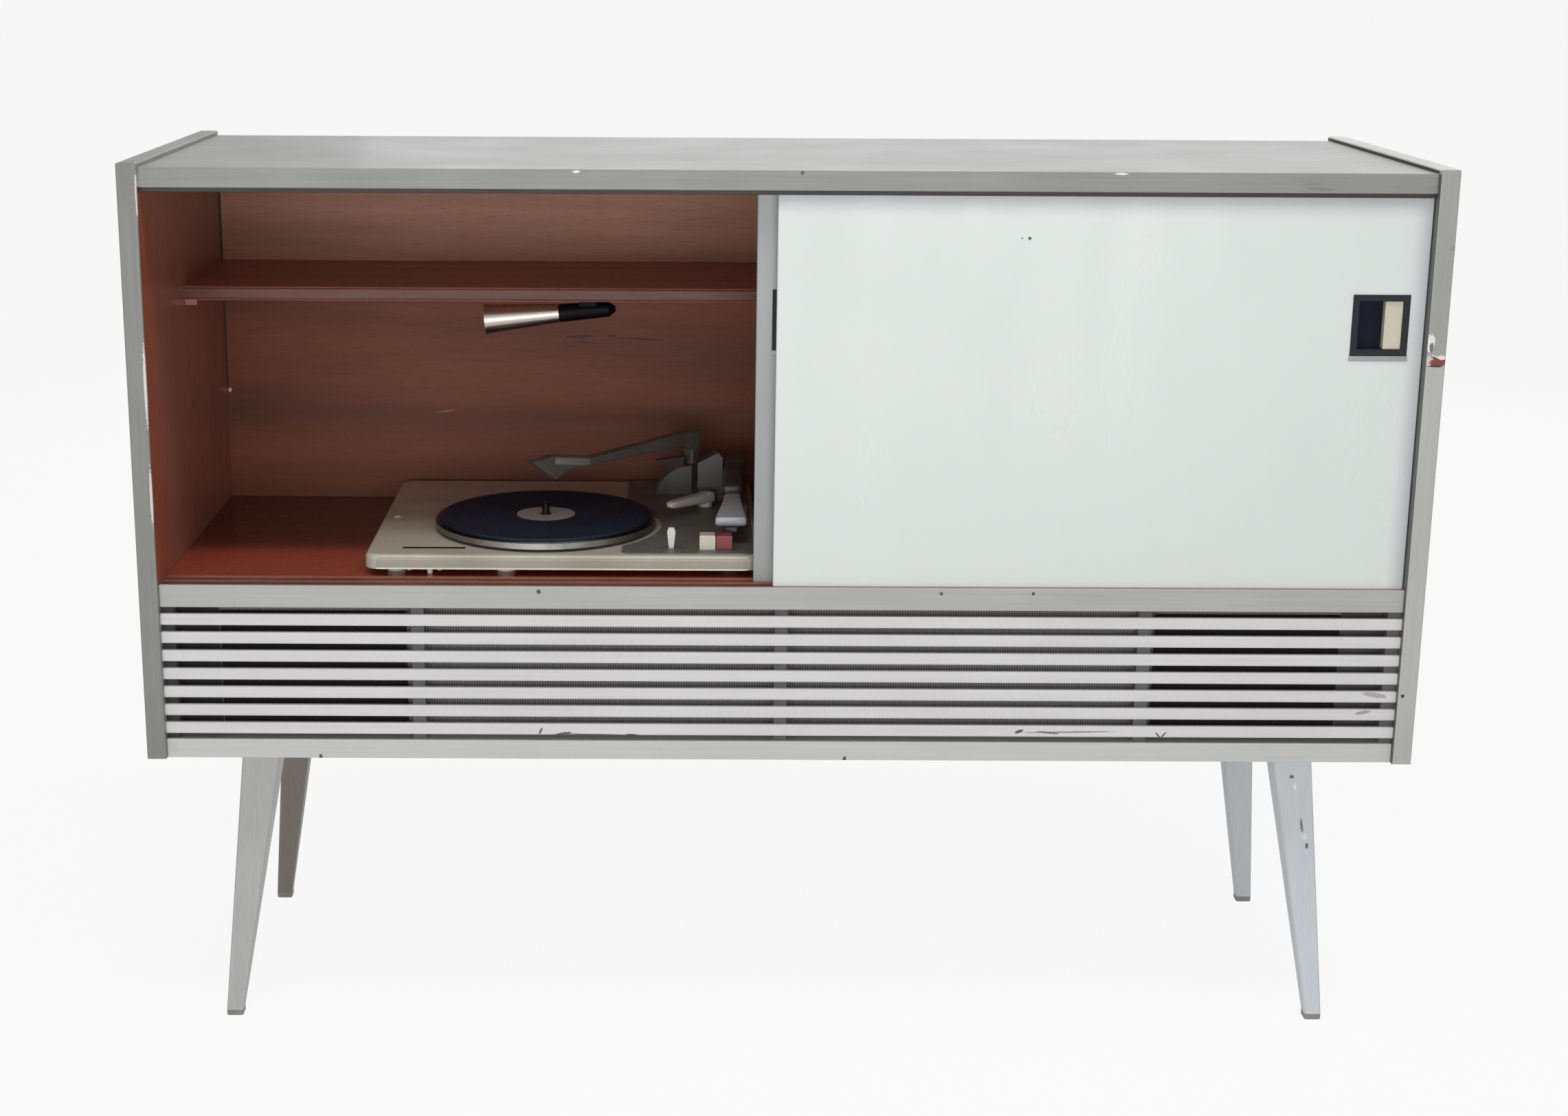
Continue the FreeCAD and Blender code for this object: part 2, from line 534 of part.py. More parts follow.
def make_shelves():
    """Shelf in each bay on cleats that run from front to back."""
    bays = (("shelf_left", f"-{HALF_INNER}", f"-{HALF_PARTITION}"),
            ("shelf_right", HALF_PARTITION, HALF_INNER))
    cleats = []
    for label, low, high in bays:
        body = pad(add_body(), "x", low, high, rectangle(SHELF_FRONT, BACK_INNER, SHELF_UNDER, SHELF_TOP))
        at_front = level_at(SHELF_FRONT, "y")
        lengthwise = value("cleat_width")
        round_edges(body, "shelf_arris", lambda edge: at_front(edge) and edge.Length > lengthwise * 2)
        node(label, body)
        depth = (f"{SHELF_FRONT} + cleat_setback", f"{BACK_INNER} - cleat_setback")
        height = (f"{SHELF_UNDER} - cleat_height", SHELF_UNDER)
        cleats.append(box((low, f"{low} + cleat_width"), depth, height))
        cleats.append(box((f"{high} - cleat_width", high), depth, height))
    node("shelf_cleats", together(cleats))


def make_partition():
    """Upright board between the two bays, behind the doors."""
    body = pad(add_body(), "x", f"-{HALF_PARTITION}", HALF_PARTITION,
               rectangle(TRACK_BACK, BACK_INNER, FLOOR_TOP, TOP_UNDER))
    node("centre_partition", body)


def groove_lines():
    """Front and back of each door's groove."""
    return [(f"{face} - groove_clearance", f"{face} + door_thickness + groove_clearance")
            for face in (FRONT_DOOR_FACE, REAR_DOOR_FACE)]


def make_tracks():
    """Grooved strips that guide both doors at the top and the bottom."""
    (front_a, front_b), (rear_a, rear_b) = groove_lines()
    runs = (("upper_track", TRACK_HIGH, TRACK_LOW, f"{TRACK_LOW} + upper_groove_depth"),
            ("lower_track", f"{FLOOR_TOP} - lower_track_height", FLOOR_TOP, f"{FLOOR_TOP} - groove_depth"))
    for label, closed, mouth, deep in runs:
        outline = [(TRACK_FRONT, closed), (TRACK_FRONT, mouth), (front_a, mouth), (front_a, deep),
                   (front_b, deep), (front_b, mouth), (rear_a, mouth), (rear_a, deep), (rear_b, deep),
                   (rear_b, mouth), (TRACK_BACK, mouth), (TRACK_BACK, closed)]
        node(label, pad(add_body(), "x", f"-{HALF_INNER}", HALF_INNER, outline))


def make_grille():
    """Seven slats across the front, with the loudspeaker board behind them on upright battens."""
    pitch = f"((grille_height - slat_foot) / {SLATS})"
    slats = []
    for i in range(SLATS):
        low = f"{BOTTOM_TOP} + slat_foot + {i} * {pitch}"
        body = pad(add_body(), "x", f"-{HALF_INNER}", HALF_INNER,
                   rectangle(RAIL_FRONT, SLAT_BACK, low, f"{low} + slat_height"))
        at_front = level_at(RAIL_FRONT, "y")
        lengthwise = value("slat_height")
        round_edges(body, "slat_arris", lambda edge: at_front(edge) and edge.Length > lengthwise * 2)
        slats.append(body)
    node("grille_slats", together(slats))

    board = pad(add_body(), "y", BAFFLE_FRONT, BAFFLE_BACK,
                rectangle(f"-{HALF_INNER}", HALF_INNER, BOTTOM_TOP, FLOOR_UNDER))
    openings = [(f"{side} * {SPEAKER_X}", SPEAKER_Z, "speaker_opening") for side in ("-1", "1")]
    pocket(board, "y", BAFFLE_FRONT, BAFFLE_BACK, *openings)
    edge = f"({HALF_INNER} - batten_width / 2)"
    beside = f"({SPEAKER_X} - cloth_width / 2 - batten_width)"
    middles = (f"-{edge}", f"-{beside}", "0", beside, edge)
    battens = [box((f"{x} - batten_width / 2", f"{x} + batten_width / 2"), (SLAT_BACK, BAFFLE_FRONT),
                   (BOTTOM_TOP, FLOOR_UNDER)) for x in middles]
    node("speaker_baffle", together([board, *battens]))

    cloths = [box((f"{side} * {SPEAKER_X} - cloth_width / 2", f"{side} * {SPEAKER_X} + cloth_width / 2"),
                  (f"{BAFFLE_FRONT} - cloth_thickness", BAFFLE_FRONT),
                  (f"{SPEAKER_Z} - cloth_height / 2", f"{SPEAKER_Z} + cloth_height / 2"))
              for side in ("-1", "1")]
    node("speaker_cloth", together(cloths))


def make_speakers():
    """Loudspeakers behind the board: an open basket with its magnet, and a paper cone with a dust cap."""
    back = "(basket_depth + magnet_length)"
    rim = "speaker_opening + flange_width"
    across, half = f"({rim})", "(window_width / 2)"
    # Above and below, the flange is cut flat where it would reach the boards
    clear = "(grille_height / 2 - board_fit)"
    throat = "coil_radius"
    paper = "cone_thickness"
    frames, cones = [], []
    for side in ("-1", "1"):
        bowl = revolve(("0", "basket_depth"), (throat, "basket_depth"), ("speaker_opening", "0"),
                       (rim, "0"), (rim, "flange_thickness"),
                       ("speaker_opening + flange_thickness", "flange_thickness"),
                       ("magnet_radius", "basket_depth"), ("magnet_radius", back), ("0", back))
        windows = [box((f"-{across}", across), (f"-{half}", half), ("window_low", "window_high")),
                   box((f"-{half}", half), (f"-{across}", across), ("window_low", "window_high"))]
        chamber = box((f"-{across}", across), (f"-{clear}", clear), ("0", back))
        frame = common(cut(bowl, *windows), chamber)
        cone = revolve(("0", f"basket_depth - cone_gap - dust_cap - {paper}"),
                       (f"{throat} / 2", f"basket_depth - cone_gap - dust_cap_shoulder - {paper}"),
                       (f"{throat} - cone_gap - {paper}", f"basket_depth - cone_gap - {paper}"),
                       (f"speaker_opening - cone_gap - {paper}", "0"),
                       ("speaker_opening - cone_gap", "0"),
                       (f"{throat} - cone_gap", "basket_depth - cone_gap"),
                       (f"{throat} / 2", "basket_depth - cone_gap - dust_cap_shoulder"),
                       ("0", "basket_depth - cone_gap - dust_cap"))
        for piece, group in ((frame, frames), (cone, cones)):
            group.append(place(piece, f"{side} * {SPEAKER_X}", BAFFLE_BACK, SPEAKER_Z, TO_BACK))
    node("speaker_frames", together(frames))
    node("speaker_cones", together(cones))


def make_door(name, left, face, pull_middle, plate_side):
    """Sliding door with a flush pull: a rimmed cup let through the door, and a pale plate on one side."""
    right = f"{left} + {DOOR_WIDTH}"
    middle = f"{FLOOR_TOP} + pull_rise"
    inner_x, inner_z = "(pull_width / 2 - pull_rim)", "(pull_height / 2 - pull_rim)"
    cup_x, cup_z = f"({inner_x} + pull_wall)", f"({inner_z} + pull_wall)"

    def about(half_x, half_z):
        return rectangle(f"{pull_middle} - {half_x}", f"{pull_middle} + {half_x}",
                         f"{middle} - {half_z}", f"{middle} + {half_z}")

    back = f"{face} + door_thickness"
    door = pad(add_body(), "y", face, back, rectangle(left, right, DOOR_BOTTOM, DOOR_TOP))
    node(f"door_{name}", pocket(door, "y", face, back, about(cup_x, cup_z)))

    rim = f"{face} - pull_flange"
    pull = pad(add_body(), "y", rim, face, about("pull_width / 2", "pull_height / 2"))
    pad(pull, "y", face, back, about(cup_x, cup_z))
    pocket(pull, "y", rim, f"{back} - pull_skin", about(inner_x, inner_z))
    round_edges(pull, "pull_round", level_at(rim, "y"))
    node(f"pull_{name}", pull)

    outer = f"{pull_middle} + {plate_side} * {inner_x}"
    inner = f"{pull_middle} + {plate_side} * ({inner_x} - pull_plate_width)"
    plate = pad(add_body(), "y", f"{rim} + pull_plate_setback", f"{back} - pull_skin",
                rectangle(inner, outer, f"{middle} - {inner_z}", f"{middle} + {inner_z}"))
    node(f"pull_plate_{name}", plate)


def make_doors():
    """Right door closed on the front track, and left door pushed open behind it on the rear track."""
    make_door("left", "left_door_edge", REAR_DOOR_FACE,
              "(left_door_edge + pull_inset + pull_width / 2)", "-1")
    make_door("right", f"({HALF_INNER} - door_side_gap - {DOOR_WIDTH})", FRONT_DOOR_FACE,
              f"({HALF_INNER} - door_side_gap - pull_inset - pull_width / 2)", "1")


def make_legs():
    """Square tapered legs splayed both ways, each on a plate with a bolt, with a tip under it."""
    top = "(leg_height - leg_plate_thickness)"
    plates, bolts, screws, tips = [], [], [], []
    for name, sx, sy in leg_corners():
        head_x, head_y = f"{sx} * {LEG_X}", f"{sy} * {LEG_Y}"
        foot_x, foot_y = f"{head_x} + {sx} * leg_splay_side", f"{head_y} + {sy} * leg_splay_depth"
        foot = bevelled(foot_x, foot_y, "leg_foot_size", "leg_foot_size", "leg_arris")
        head = bevelled(head_x, head_y, "leg_top_size", "leg_top_size", "leg_arris")
        leg = loft("z", ("leg_tip_height", foot), (top, head))
        pocket(leg, "z", f"{top} - leg_bolt_depth", top, (head_x, head_y, "leg_bolt_radius + bolt_clearance"))
        node(f"leg_{name}", leg)
        half = "leg_plate_size / 2"
        plate = pad(add_body(), "z", top, "leg_height",
                    rectangle(f"{head_x} - {half}", f"{head_x} + {half}",
                              f"{head_y} - {half}", f"{head_y} + {half}"))
        pocket(plate, "z", top, "leg_height", (head_x, head_y, "leg_bolt_radius + bolt_clearance"))
        plates.append(plate)
        bolts.append(rod("leg_bolt_radius", "leg_bolt_depth + leg_plate_thickness + leg_bolt_rise",
                         head_x, head_y, f"{top} - leg_bolt_depth"))
        for side, end in (("-1", "-1"), ("1", "-1"), ("-1", "1"), ("1", "1")):
            screw = revolve(("0", "0"), ("plate_screw_radius", "0"),
                            ("plate_screw_radius / 2", "plate_screw_head"), ("0", "plate_screw_head"))
            screws.append(place(screw, f"{head_x} + {side} * plate_screw_spread",
                                f"{head_y} + {end} * plate_screw_spread", top, UNDER))
        tips.append(pad(add_body(), "z", "0", "leg_tip_height", foot))
    node("leg_fixings", together(plates + bolts + screws))
    node("leg_tips", together(tips))


def deck_bores():
    """Round holes through the deck plate for the parts that pass it."""
    gap = "running_gap"
    return [(PLATTER_X, PLATTER_Y, f"bearing_radius + {gap}"), (IDLER_X, IDLER_Y, f"idler_shaft + {gap}"),
            (PULLEY_X, PULLEY_Y, "pulley_hole"), (TURRET_X, TURRET_Y, f"turret_stem + {gap}"),
            (SIZE_X, SIZE_Y, f"size_stem + {gap}")]


def control_slots():
    """Square holes for the two buttons and the slot of the speed lever."""
    slots = []
    for middle in ("start_side", "stop_side"):
        half_x, half_y = "(button_width / 2 + button_gap)", "(button_length / 2 + button_gap)"
        x = f"({DECK_X} + {middle})"
        slots.append(rectangle(f"{x} - {half_x}", f"{x} + {half_x}",
                               f"{CONTROL_Y} - {half_y}", f"{CONTROL_Y} + {half_y}"))
    x, half = f"({DECK_X} + speed_side)", "(speed_width / 2 + button_gap)"
    across = "(speed_thickness / 2 + button_gap)"
    slots.append(rectangle(f"{x} - {half} - speed_left", f"{x} + {half} + speed_right",
                           f"{CONTROL_Y} - {across}", f"{CONTROL_Y} + {across}"))
    return slots


def make_deck():
    """Pressed deck plate: a rounded tray turned over, with a control plate, soft mounts and transit pegs."""
    deck = pad(add_body(), "z", DECK_LOW, DECK_TOP, rectangle(DECK_LEFT, DECK_RIGHT, DECK_FRONT, DECK_BACK))
    round_edges(deck, "deck_corner", upright)
    round_edges(deck, "deck_edge", level_at(DECK_TOP))
    hollow = bevelled(DECK_X, DECK_Y, "deck_width - 2 * deck_edge", "deck_depth - 2 * deck_edge",
                      "deck_corner")
    pocket(deck, "z", DECK_LOW, DECK_SKIN, hollow)
    slot = rectangle(f"{DECK_LEFT} + deck_slot_left", f"{DECK_LEFT} + deck_slot_left + deck_slot_length",
                     f"{DECK_FRONT} + deck_slot_front", f"{DECK_FRONT} + deck_slot_front + deck_slot_width")
    pocket(deck, "z", DECK_SKIN, DECK_TOP, *deck_bores(), slot)
    for opening in control_slots():
        pocket(deck, "z", DECK_SKIN, DECK_TOP, opening)
    node("deck_plate", deck)

    right = f"({DECK_RIGHT} - deck_edge)"
    panel = pad(add_body(), "z", DECK_TOP, PANEL_TOP,
                rectangle(f"{right} - panel_width", right,
                          f"{DECK_FRONT} + deck_edge", f"{DECK_BACK} - deck_edge"))
    round_edges(panel, "panel_corner", upright)
    pocket(panel, "z", DECK_TOP, PANEL_TOP, (PLATTER_X, PLATTER_Y, "platter_radius + panel_platter_gap"))
    pocket(panel, "z", DECK_TOP, PANEL_TOP, *deck_bores()[3:])
    for opening in control_slots():
        pocket(panel, "z", DECK_TOP, PANEL_TOP, opening)
    node("control_panel", panel)

    mounts = []
    west, east = f"{DECK_LEFT} + mount_inset", f"{DECK_RIGHT} - mount_inset"
    near, far = f"{DECK_FRONT} + mount_inset", f"{DECK_BACK} - mount_inset"
    # The right front mount stands behind the buttons
    places = [(west, near), (west, far), (east, far), (east, f"{DECK_FRONT} + mount_behind_buttons"),
              (f"{DECK_LEFT} + mount_middle", near)]
    for x, y in places:
        height = f"({DECK_SKIN} - {FLOOR_TOP})"
        waist = f"{height} - mount_neck_height"
        mount = revolve(("0", "0"), ("mount_radius", "0"), ("mount_radius", "mount_neck_height"),
                        ("mount_neck", "mount_neck_height"), ("mount_neck", waist),
                        ("mount_radius", waist), ("mount_radius", height), ("0", height))
        mounts.append(place(mount, x, y, FLOOR_TOP))
    # Transit pegs behind the front edge: the middle one stands on the floor, the others hang
    for side, lift in (("peg_first", "peg_clear"), ("peg_second", "0"), ("peg_third", "peg_clear")):
        height = f"({DECK_SKIN} - {FLOOR_TOP} - {lift})"
        peg = revolve(("0", "0"), ("peg_radius - peg_bevel", "0"), ("peg_radius", "peg_bevel"),
                      ("peg_radius", height), ("0", height))
        mounts.append(place(peg, f"{DECK_LEFT} + {side}", f"{DECK_FRONT} + peg_inset", f"{FLOOR_TOP} + {lift}"))
    node("deck_mounts", together(mounts))


def make_platter():
    """Pressed platter with a raised centre, its grooved mat, and the fixed spindle that it turns on."""
    bore = "bearing_radius + running_gap"
    low = "platter_rim_gap"
    top, under = "platter_rise", "platter_rise - platter_wall"
    raised = "platter_rise + mat_thickness"
    platter = revolve((bore, low), ("hub_radius", low), ("hub_radius", under), (RIM_INNER, under),
                      (RIM_INNER, low), ("platter_radius", low), ("platter_radius", f"{top} - platter_roll"),
                      ("platter_radius - platter_roll", top), ("centre_radius", top),
                      ("centre_radius", raised), (bore, raised))
    node("platter", place(platter, PLATTER_X, PLATTER_Y, DECK_TOP))

    hole = "centre_radius + centre_gap"
    grooves = []
    for i in reversed(range(MAT_GROOVES)):
        inside = f"mat_groove_first + {i} * mat_groove_pitch"
        outside = f"{inside} + mat_groove_width"
        deep = f"{raised} - mat_groove_depth"
        grooves += [(outside, raised), (outside, deep), (inside, deep), (inside, raised)]
    mat = revolve((hole, top), ("mat_radius", top), ("mat_radius", f"{raised} - platter_roll"),
                  ("mat_radius - platter_roll", raised), *grooves, (hole, raised))
    node("platter_mat", place(mat, PLATTER_X, PLATTER_Y, DECK_TOP))

    foot = "hub_radius"
    spindle = revolve(("0", "-stem_reach"), (foot, "-stem_reach"), (foot, "-deck_wall"),
                      ("bearing_radius", "-deck_wall"), ("bearing_radius", raised),
                      ("spindle_radius", raised),
                      ("spindle_radius", f"{raised} + spindle_rise - spindle_radius / 2"),
                      ("spindle_radius / 2", f"{raised} + spindle_rise"), ("0", f"{raised} + spindle_rise"))
    node("spindle", place(spindle, PLATTER_X, PLATTER_Y, DECK_TOP))


def make_drive():
    """Motor under the deck, its stepped pulley, and the idler that presses on the platter's rim."""
    collar, length = "motor_collar_length", "motor_length"
    shaft_top = "deck_wall + idler_clear + idler_thickness"
    half = "lamination_thickness / 2"
    waist = f"-{collar} - {length} / 2"
    motor = revolve(("0", f"-{collar} - {length}"), ("motor_radius / 2", f"-{collar} - {length}"),
                    ("motor_radius", f"{waist} - {half}"), ("motor_radius", f"{waist} + {half}"),
                    ("motor_collar", f"-{collar}"), ("motor_collar", "0"), ("shaft_radius", "0"),
                    ("shaft_radius", shaft_top), ("0", shaft_top))
    place(motor, PULLEY_X, PULLEY_Y, DECK_SKIN)
    middle = f"{DECK_SKIN} - {collar} - {length} / 2"
    stack = box((f"{PULLEY_X} - lamination_size / 2", f"{PULLEY_X} + lamination_size / 2"),
                (f"{PULLEY_Y} - lamination_size / 2", f"{PULLEY_Y} + lamination_size / 2"),
                (f"{middle} - {half}", f"{middle} + {half}"))
    node("drive_motor", fuse(motor, stack))

    bore = "shaft_radius + running_gap"
    wide = "pulley_radius + pulley_step"
    pulley = revolve((bore, "idler_clear - pulley_step_height"), (wide, "idler_clear - pulley_step_height"),
                     (wide, "idler_clear"), ("pulley_radius", "idler_clear"),
                     ("pulley_radius", "idler_clear + idler_thickness - pulley_step_height"),
                     ("pulley_radius - pulley_step", "idler_clear + idler_thickness - pulley_step_height"),
                     ("pulley_radius - pulley_step", "idler_clear + idler_thickness"),
                     (bore, "idler_clear + idler_thickness"))
    node("motor_pulley", place(pulley, PULLEY_X, PULLEY_Y, DECK_TOP))

    below = "-stem_reach"
    idler = revolve(("0", below), ("idler_shaft", below), ("idler_shaft", "idler_clear - contact_gap"),
                    ("idler_shaft * 2", "idler_clear"), ("idler_radius - pulley_step", "idler_clear"),
                    ("idler_radius", "idler_clear + pulley_step"),
                    ("idler_radius", "idler_clear + idler_thickness - pulley_step"),
                    ("idler_radius - pulley_step", "idler_clear + idler_thickness"),
                    ("0", "idler_clear + idler_thickness"))
    node("idler_wheel", place(idler, IDLER_X, IDLER_Y, DECK_TOP))


def make_turret():
    """Turret that swings on the deck: a round base, an upright cheek with a sloped top, and the arm's pin."""
    below = "-panel_thickness - stem_reach"
    base = revolve(("0", below), ("turret_stem", below), ("turret_stem", "turret_gap"),
                   ("turret_radius", "turret_gap"), ("turret_radius", "turret_height - panel_thickness"),
                   ("turret_radius - panel_thickness", "turret_height"), ("0", "turret_height"))
    place(base, TURRET_X, TURRET_Y, PANEL_TOP)
    foot, peak = f"{PANEL_TOP} + turret_height - panel_thickness", f"{PANEL_TOP} + cheek_rise"
    left, right = f"{TURRET_X} - cheek_outer", f"{ARM_X} - tail_width / 2 - arm_side_gap"
    face = [(left, foot), (right, foot), (right, f"{peak} - cheek_crest"), (f"{right} - cheek_crest", peak),
            (left, f"{peak} - cheek_slope")]
    cheek = pad(add_body(), "y", f"{TURRET_Y} - cheek_front", f"{TURRET_Y} + cheek_back", face)
    pin = rod("pivot_radius", "pin_seat + arm_side_gap + tail_width",
              f"{right} - pin_seat", TURRET_Y, PIVOT_Z, TO_RIGHT)
    node("tonearm_turret", fuse(base, cheek, pin))


def arm_section(reach, rise, width, height):
    """Level and outline of the arm at a reach in front of the turret, leaning left towards the head."""
    across = f"{ARM_X} - arm_lean * ({reach}) / head_length"
    return f"{TURRET_Y} - ({reach})", bevelled(across, rise, width, height, "arm_bevel")


def hood_section(reach, top, depth):
    """Level and outline of the hood over the arm's root, from its top above the pin downwards."""
    across, rise = f"{ARM_X} - arm_lean * ({reach}) / head_length", f"{PIVOT_Z} + {top} - {depth} / 2"
    return f"{TURRET_Y} - ({reach})", bevelled(across, rise, "hood_width", depth, "hood_bevel")


def make_pickup_arm():
    """Arm that tips on the turret's pin, its hood, round tail and flared head, and the cartridge below."""
    arm = loft("y", arm_section("0", PIVOT_Z, "arm_root_width", "arm_root_height"),
               arm_section("arm_neck", f"{ARM_UNDER} + arm_neck_rise + arm_neck_height / 2",
                           "arm_neck_width", "arm_neck_height"),
               arm_section("arm_shoulder", f"{ARM_UNDER} + arm_shoulder_height / 2",
                           "arm_shoulder_width", "arm_shoulder_height"),
               arm_section("head_length - head_nose", f"{ARM_UNDER} + head_height / 2",
                           "head_width", "head_height"),
               arm_section("head_length", f"{ARM_UNDER} + head_height - head_front / 2",
                           "head_width - arm_bevel", "head_front"))
    hood = loft("y", hood_section("hood_back", "hood_top", "hood_depth"),
                hood_section("hood_front", "hood_front_top", "hood_front_depth"))
    tail = rod("tail_radius", "tail_width", f"{ARM_X} - tail_width / 2", TURRET_Y, PIVOT_Z, TO_RIGHT)
    bore = rod("pivot_radius + running_gap", "2 * tail_width",
               f"{ARM_X} - tail_width", TURRET_Y, PIVOT_Z, TO_RIGHT)
    node("tonearm", cut(fuse(arm, hood, tail), bore))

    needle_x, needle_y = f"({ARM_X} - arm_lean * stylus_reach / head_length)", f"({TURRET_Y} - stylus_reach)"
    block = box((f"{needle_x} - cartridge_width / 2", f"{needle_x} + cartridge_width / 2"),
                (f"{needle_y} - cartridge_length / 2", f"{needle_y} + cartridge_length / 2"),
                (f"{MAT_TOP} + stylus_gap + stylus_length", ARM_UNDER))
    point = revolve(("0", "0"), ("stylus_radius", "stylus_length"), ("stylus_radius", "stylus_length * 2"),
                    ("0", "stylus_length * 2"))
    place(point, needle_x, needle_y, f"{MAT_TOP} + stylus_gap")
    node("cartridge", fuse(block, point))


def make_arm_rest():
    """Post with a saddle under the arm, open on the side that the arm swings to."""
    middle = f"({TURRET_Y} - rest_reach)"
    across = f"({ARM_X} - arm_lean)"
    saddle = f"({ARM_UNDER} - rest_gap)"
    prong = f"{TURRET_X} + rest_prong_side"
    web = f"{saddle} - rest_web"
    horn = f"{saddle} + rest_prong_rise"
    outline = [(f"{across} - rest_stem", PANEL_TOP), (f"{across} + rest_stem", PANEL_TOP),
               (f"{across} + rest_stem", web), (f"{prong} + rest_prong", web),
               (f"{prong} + rest_prong", horn), (prong, horn), (prong, saddle),
               (f"{prong} - rest_left", saddle), (f"{prong} - rest_left", web),
               (f"{across} - rest_stem", web)]
    post = pad(add_body(), "y", f"{middle} - rest_length / 2", f"{middle} + rest_length / 2", outline)
    node("arm_rest", post)


def make_overarm():
    """Overhead arm that swings on its post, with a beaked head that steadies the stack on the spindle."""
    bore = "overarm_stem + running_gap"
    socket = "post_height - overarm_stem_length - overarm_seat_gap"
    post = revolve(("0", "0"), ("post_foot_radius", "0"), ("post_foot_radius", "panel_thickness"),
                   ("post_radius", "post_foot_height"), ("post_radius", "post_height"), (bore, "post_height"),
                   (bore, socket), ("0", socket))
    place(post, POST_X, POST_Y, PANEL_TOP)
    drum = rod("cowl_radius", "cowl_front + cowl_back", POST_X, f"{POST_Y} - cowl_front",
               f"{PANEL_TOP} - cowl_sink", TO_BACK)
    quarter = box((f"{POST_X} - cowl_radius", POST_X), (f"{POST_Y} - cowl_front", f"{POST_Y} + cowl_back"),
                  (PANEL_TOP, f"{PANEL_TOP} + cowl_radius"))
    hole = rod(bore, "overarm_stem_length + overarm_seat_gap", POST_X, POST_Y, f"{PANEL_TOP} + {socket}")
    root = f"{POST_X} - finger_root"
    finger = pad(add_body(), "y", f"{POST_Y} - finger_front", f"{POST_Y} - finger_back",
                 [(f"{POST_X} - finger_reach", f"{PANEL_TOP} + finger_tip_height"),
                  (f"{POST_X} - finger_heel", f"{PANEL_TOP} + finger_heel_height"),
                  (root, f"{PANEL_TOP} + finger_low"), (root, f"{PANEL_TOP} + finger_top_height")])
    node("overarm_post", cut(fuse(post, common(drum, quarter), finger), hole))

    # The profile is drawn along +X from the post and then turned to point at the spindle
    seat, top, half = "post_height + overarm_seat_gap", "overarm_top", "overarm_leg / 2"
    outline = [(f"-{half}", seat), (half, seat), (half, f"{top} - overarm_depth - overarm_haunch / 2"),
               (f"{half} + overarm_haunch", f"{top} - overarm_depth"),
               ("overarm_neck", f"{top} - overarm_dip - overarm_neck_depth"),
               ("beak_root", f"{top} - overarm_dip - overarm_neck_depth"), ("beak_reach", "beak_height"),
               ("overarm_reach", "overarm_tip"), ("head_crown_reach", "head_crown"),
               ("overarm_neck", f"{top} - overarm_dip"), (half, top),
               (f"-{half}", f"{top} - overarm_round")]
    arm = pad(add_body(), "y", "-overarm_width / 2", "overarm_width / 2", outline)
    near, far = level_at("-overarm_width / 2", "y"), level_at("overarm_width / 2", "y")
    at_seat = level_at(seat)
    round_edges(arm, "overarm_round", lambda edge: (near(edge) or far(edge)) and not at_seat(edge))
    stem = rod("overarm_stem", "overarm_stem_length + overarm_seat_gap + overarm_round", "0", "0",
               "post_height - overarm_stem_length")
    aim = f"180 + atan(({PLATTER_Y} - {POST_Y}) / ({PLATTER_X} - {POST_X})) / 1deg"
    whole = place(fuse(arm, stem), POST_X, POST_Y, PANEL_TOP, ABOUT_UPRIGHT)
    node("overarm", swing(whole, aim))


def make_controls():
    """Start and stop buttons, the speed lever in its slot, and the tapered size lever."""
    for label, middle in (("start_button", "start_side"), ("stop_button", "stop_side")):
        x = f"({DECK_X} + {middle})"
        top = f"{PANEL_TOP} + button_rise"
        button = pad(add_body(), "z", f"{DECK_SKIN} - button_depth", top,
                     rectangle(f"{x} - button_width / 2", f"{x} + button_width / 2",
                               f"{CONTROL_Y} - button_length / 2", f"{CONTROL_Y} + button_length / 2"))
        node(label, round_edges(button, "button_crown", level_at(top)))

    x = f"({DECK_X} + speed_side)"
    top = f"{PANEL_TOP} + speed_rise"
    low = f"{DECK_SKIN} - button_depth"
    half, tip = "speed_width / 2", "speed_tip / 2"
    outline = [(f"{x} - {half} + button_crown", low), (f"{x} + {half} - button_crown", low),
               (f"{x} + {half} - button_crown", PANEL_TOP), (f"{x} + {half}", f"{top} - {half}"),
               (f"{x} + {tip}", top), (f"{x} - {tip}", top), (f"{x} - {half}", f"{top} - {half}"),
               (f"{x} - {half} + button_crown", PANEL_TOP)]
    node("speed_lever", pad(add_body(), "y", f"{CONTROL_Y} - speed_thickness / 2",
                            f"{CONTROL_Y} + speed_thickness / 2", outline))

    # The lever is drawn along +X from its pivot and then turned
    sections = [(reach, bevelled("0", f"size_top - {height} / 2", width, height, "size_bevel"))
                for reach, width, height in (("0", "size_root", "size_root_height"),
                                             ("size_length - spoon_length", "size_spoon", "size_spoon_height"),
                                             ("size_length", "size_tip", "size_tip_height"))]
    blade = loft("x", *sections)
    boss = rod("size_boss", "size_top - turret_gap", "0", "0", "turret_gap")
    below = "-panel_thickness - stem_reach"
    stem = rod("size_stem", f"turret_gap + size_bevel - ({below})", "0", "0", below)
    lever = place(fuse(blade, boss, stem), SIZE_X, SIZE_Y, PANEL_TOP, ABOUT_UPRIGHT)
    node("size_lever", swing(lever, "size_angle"))


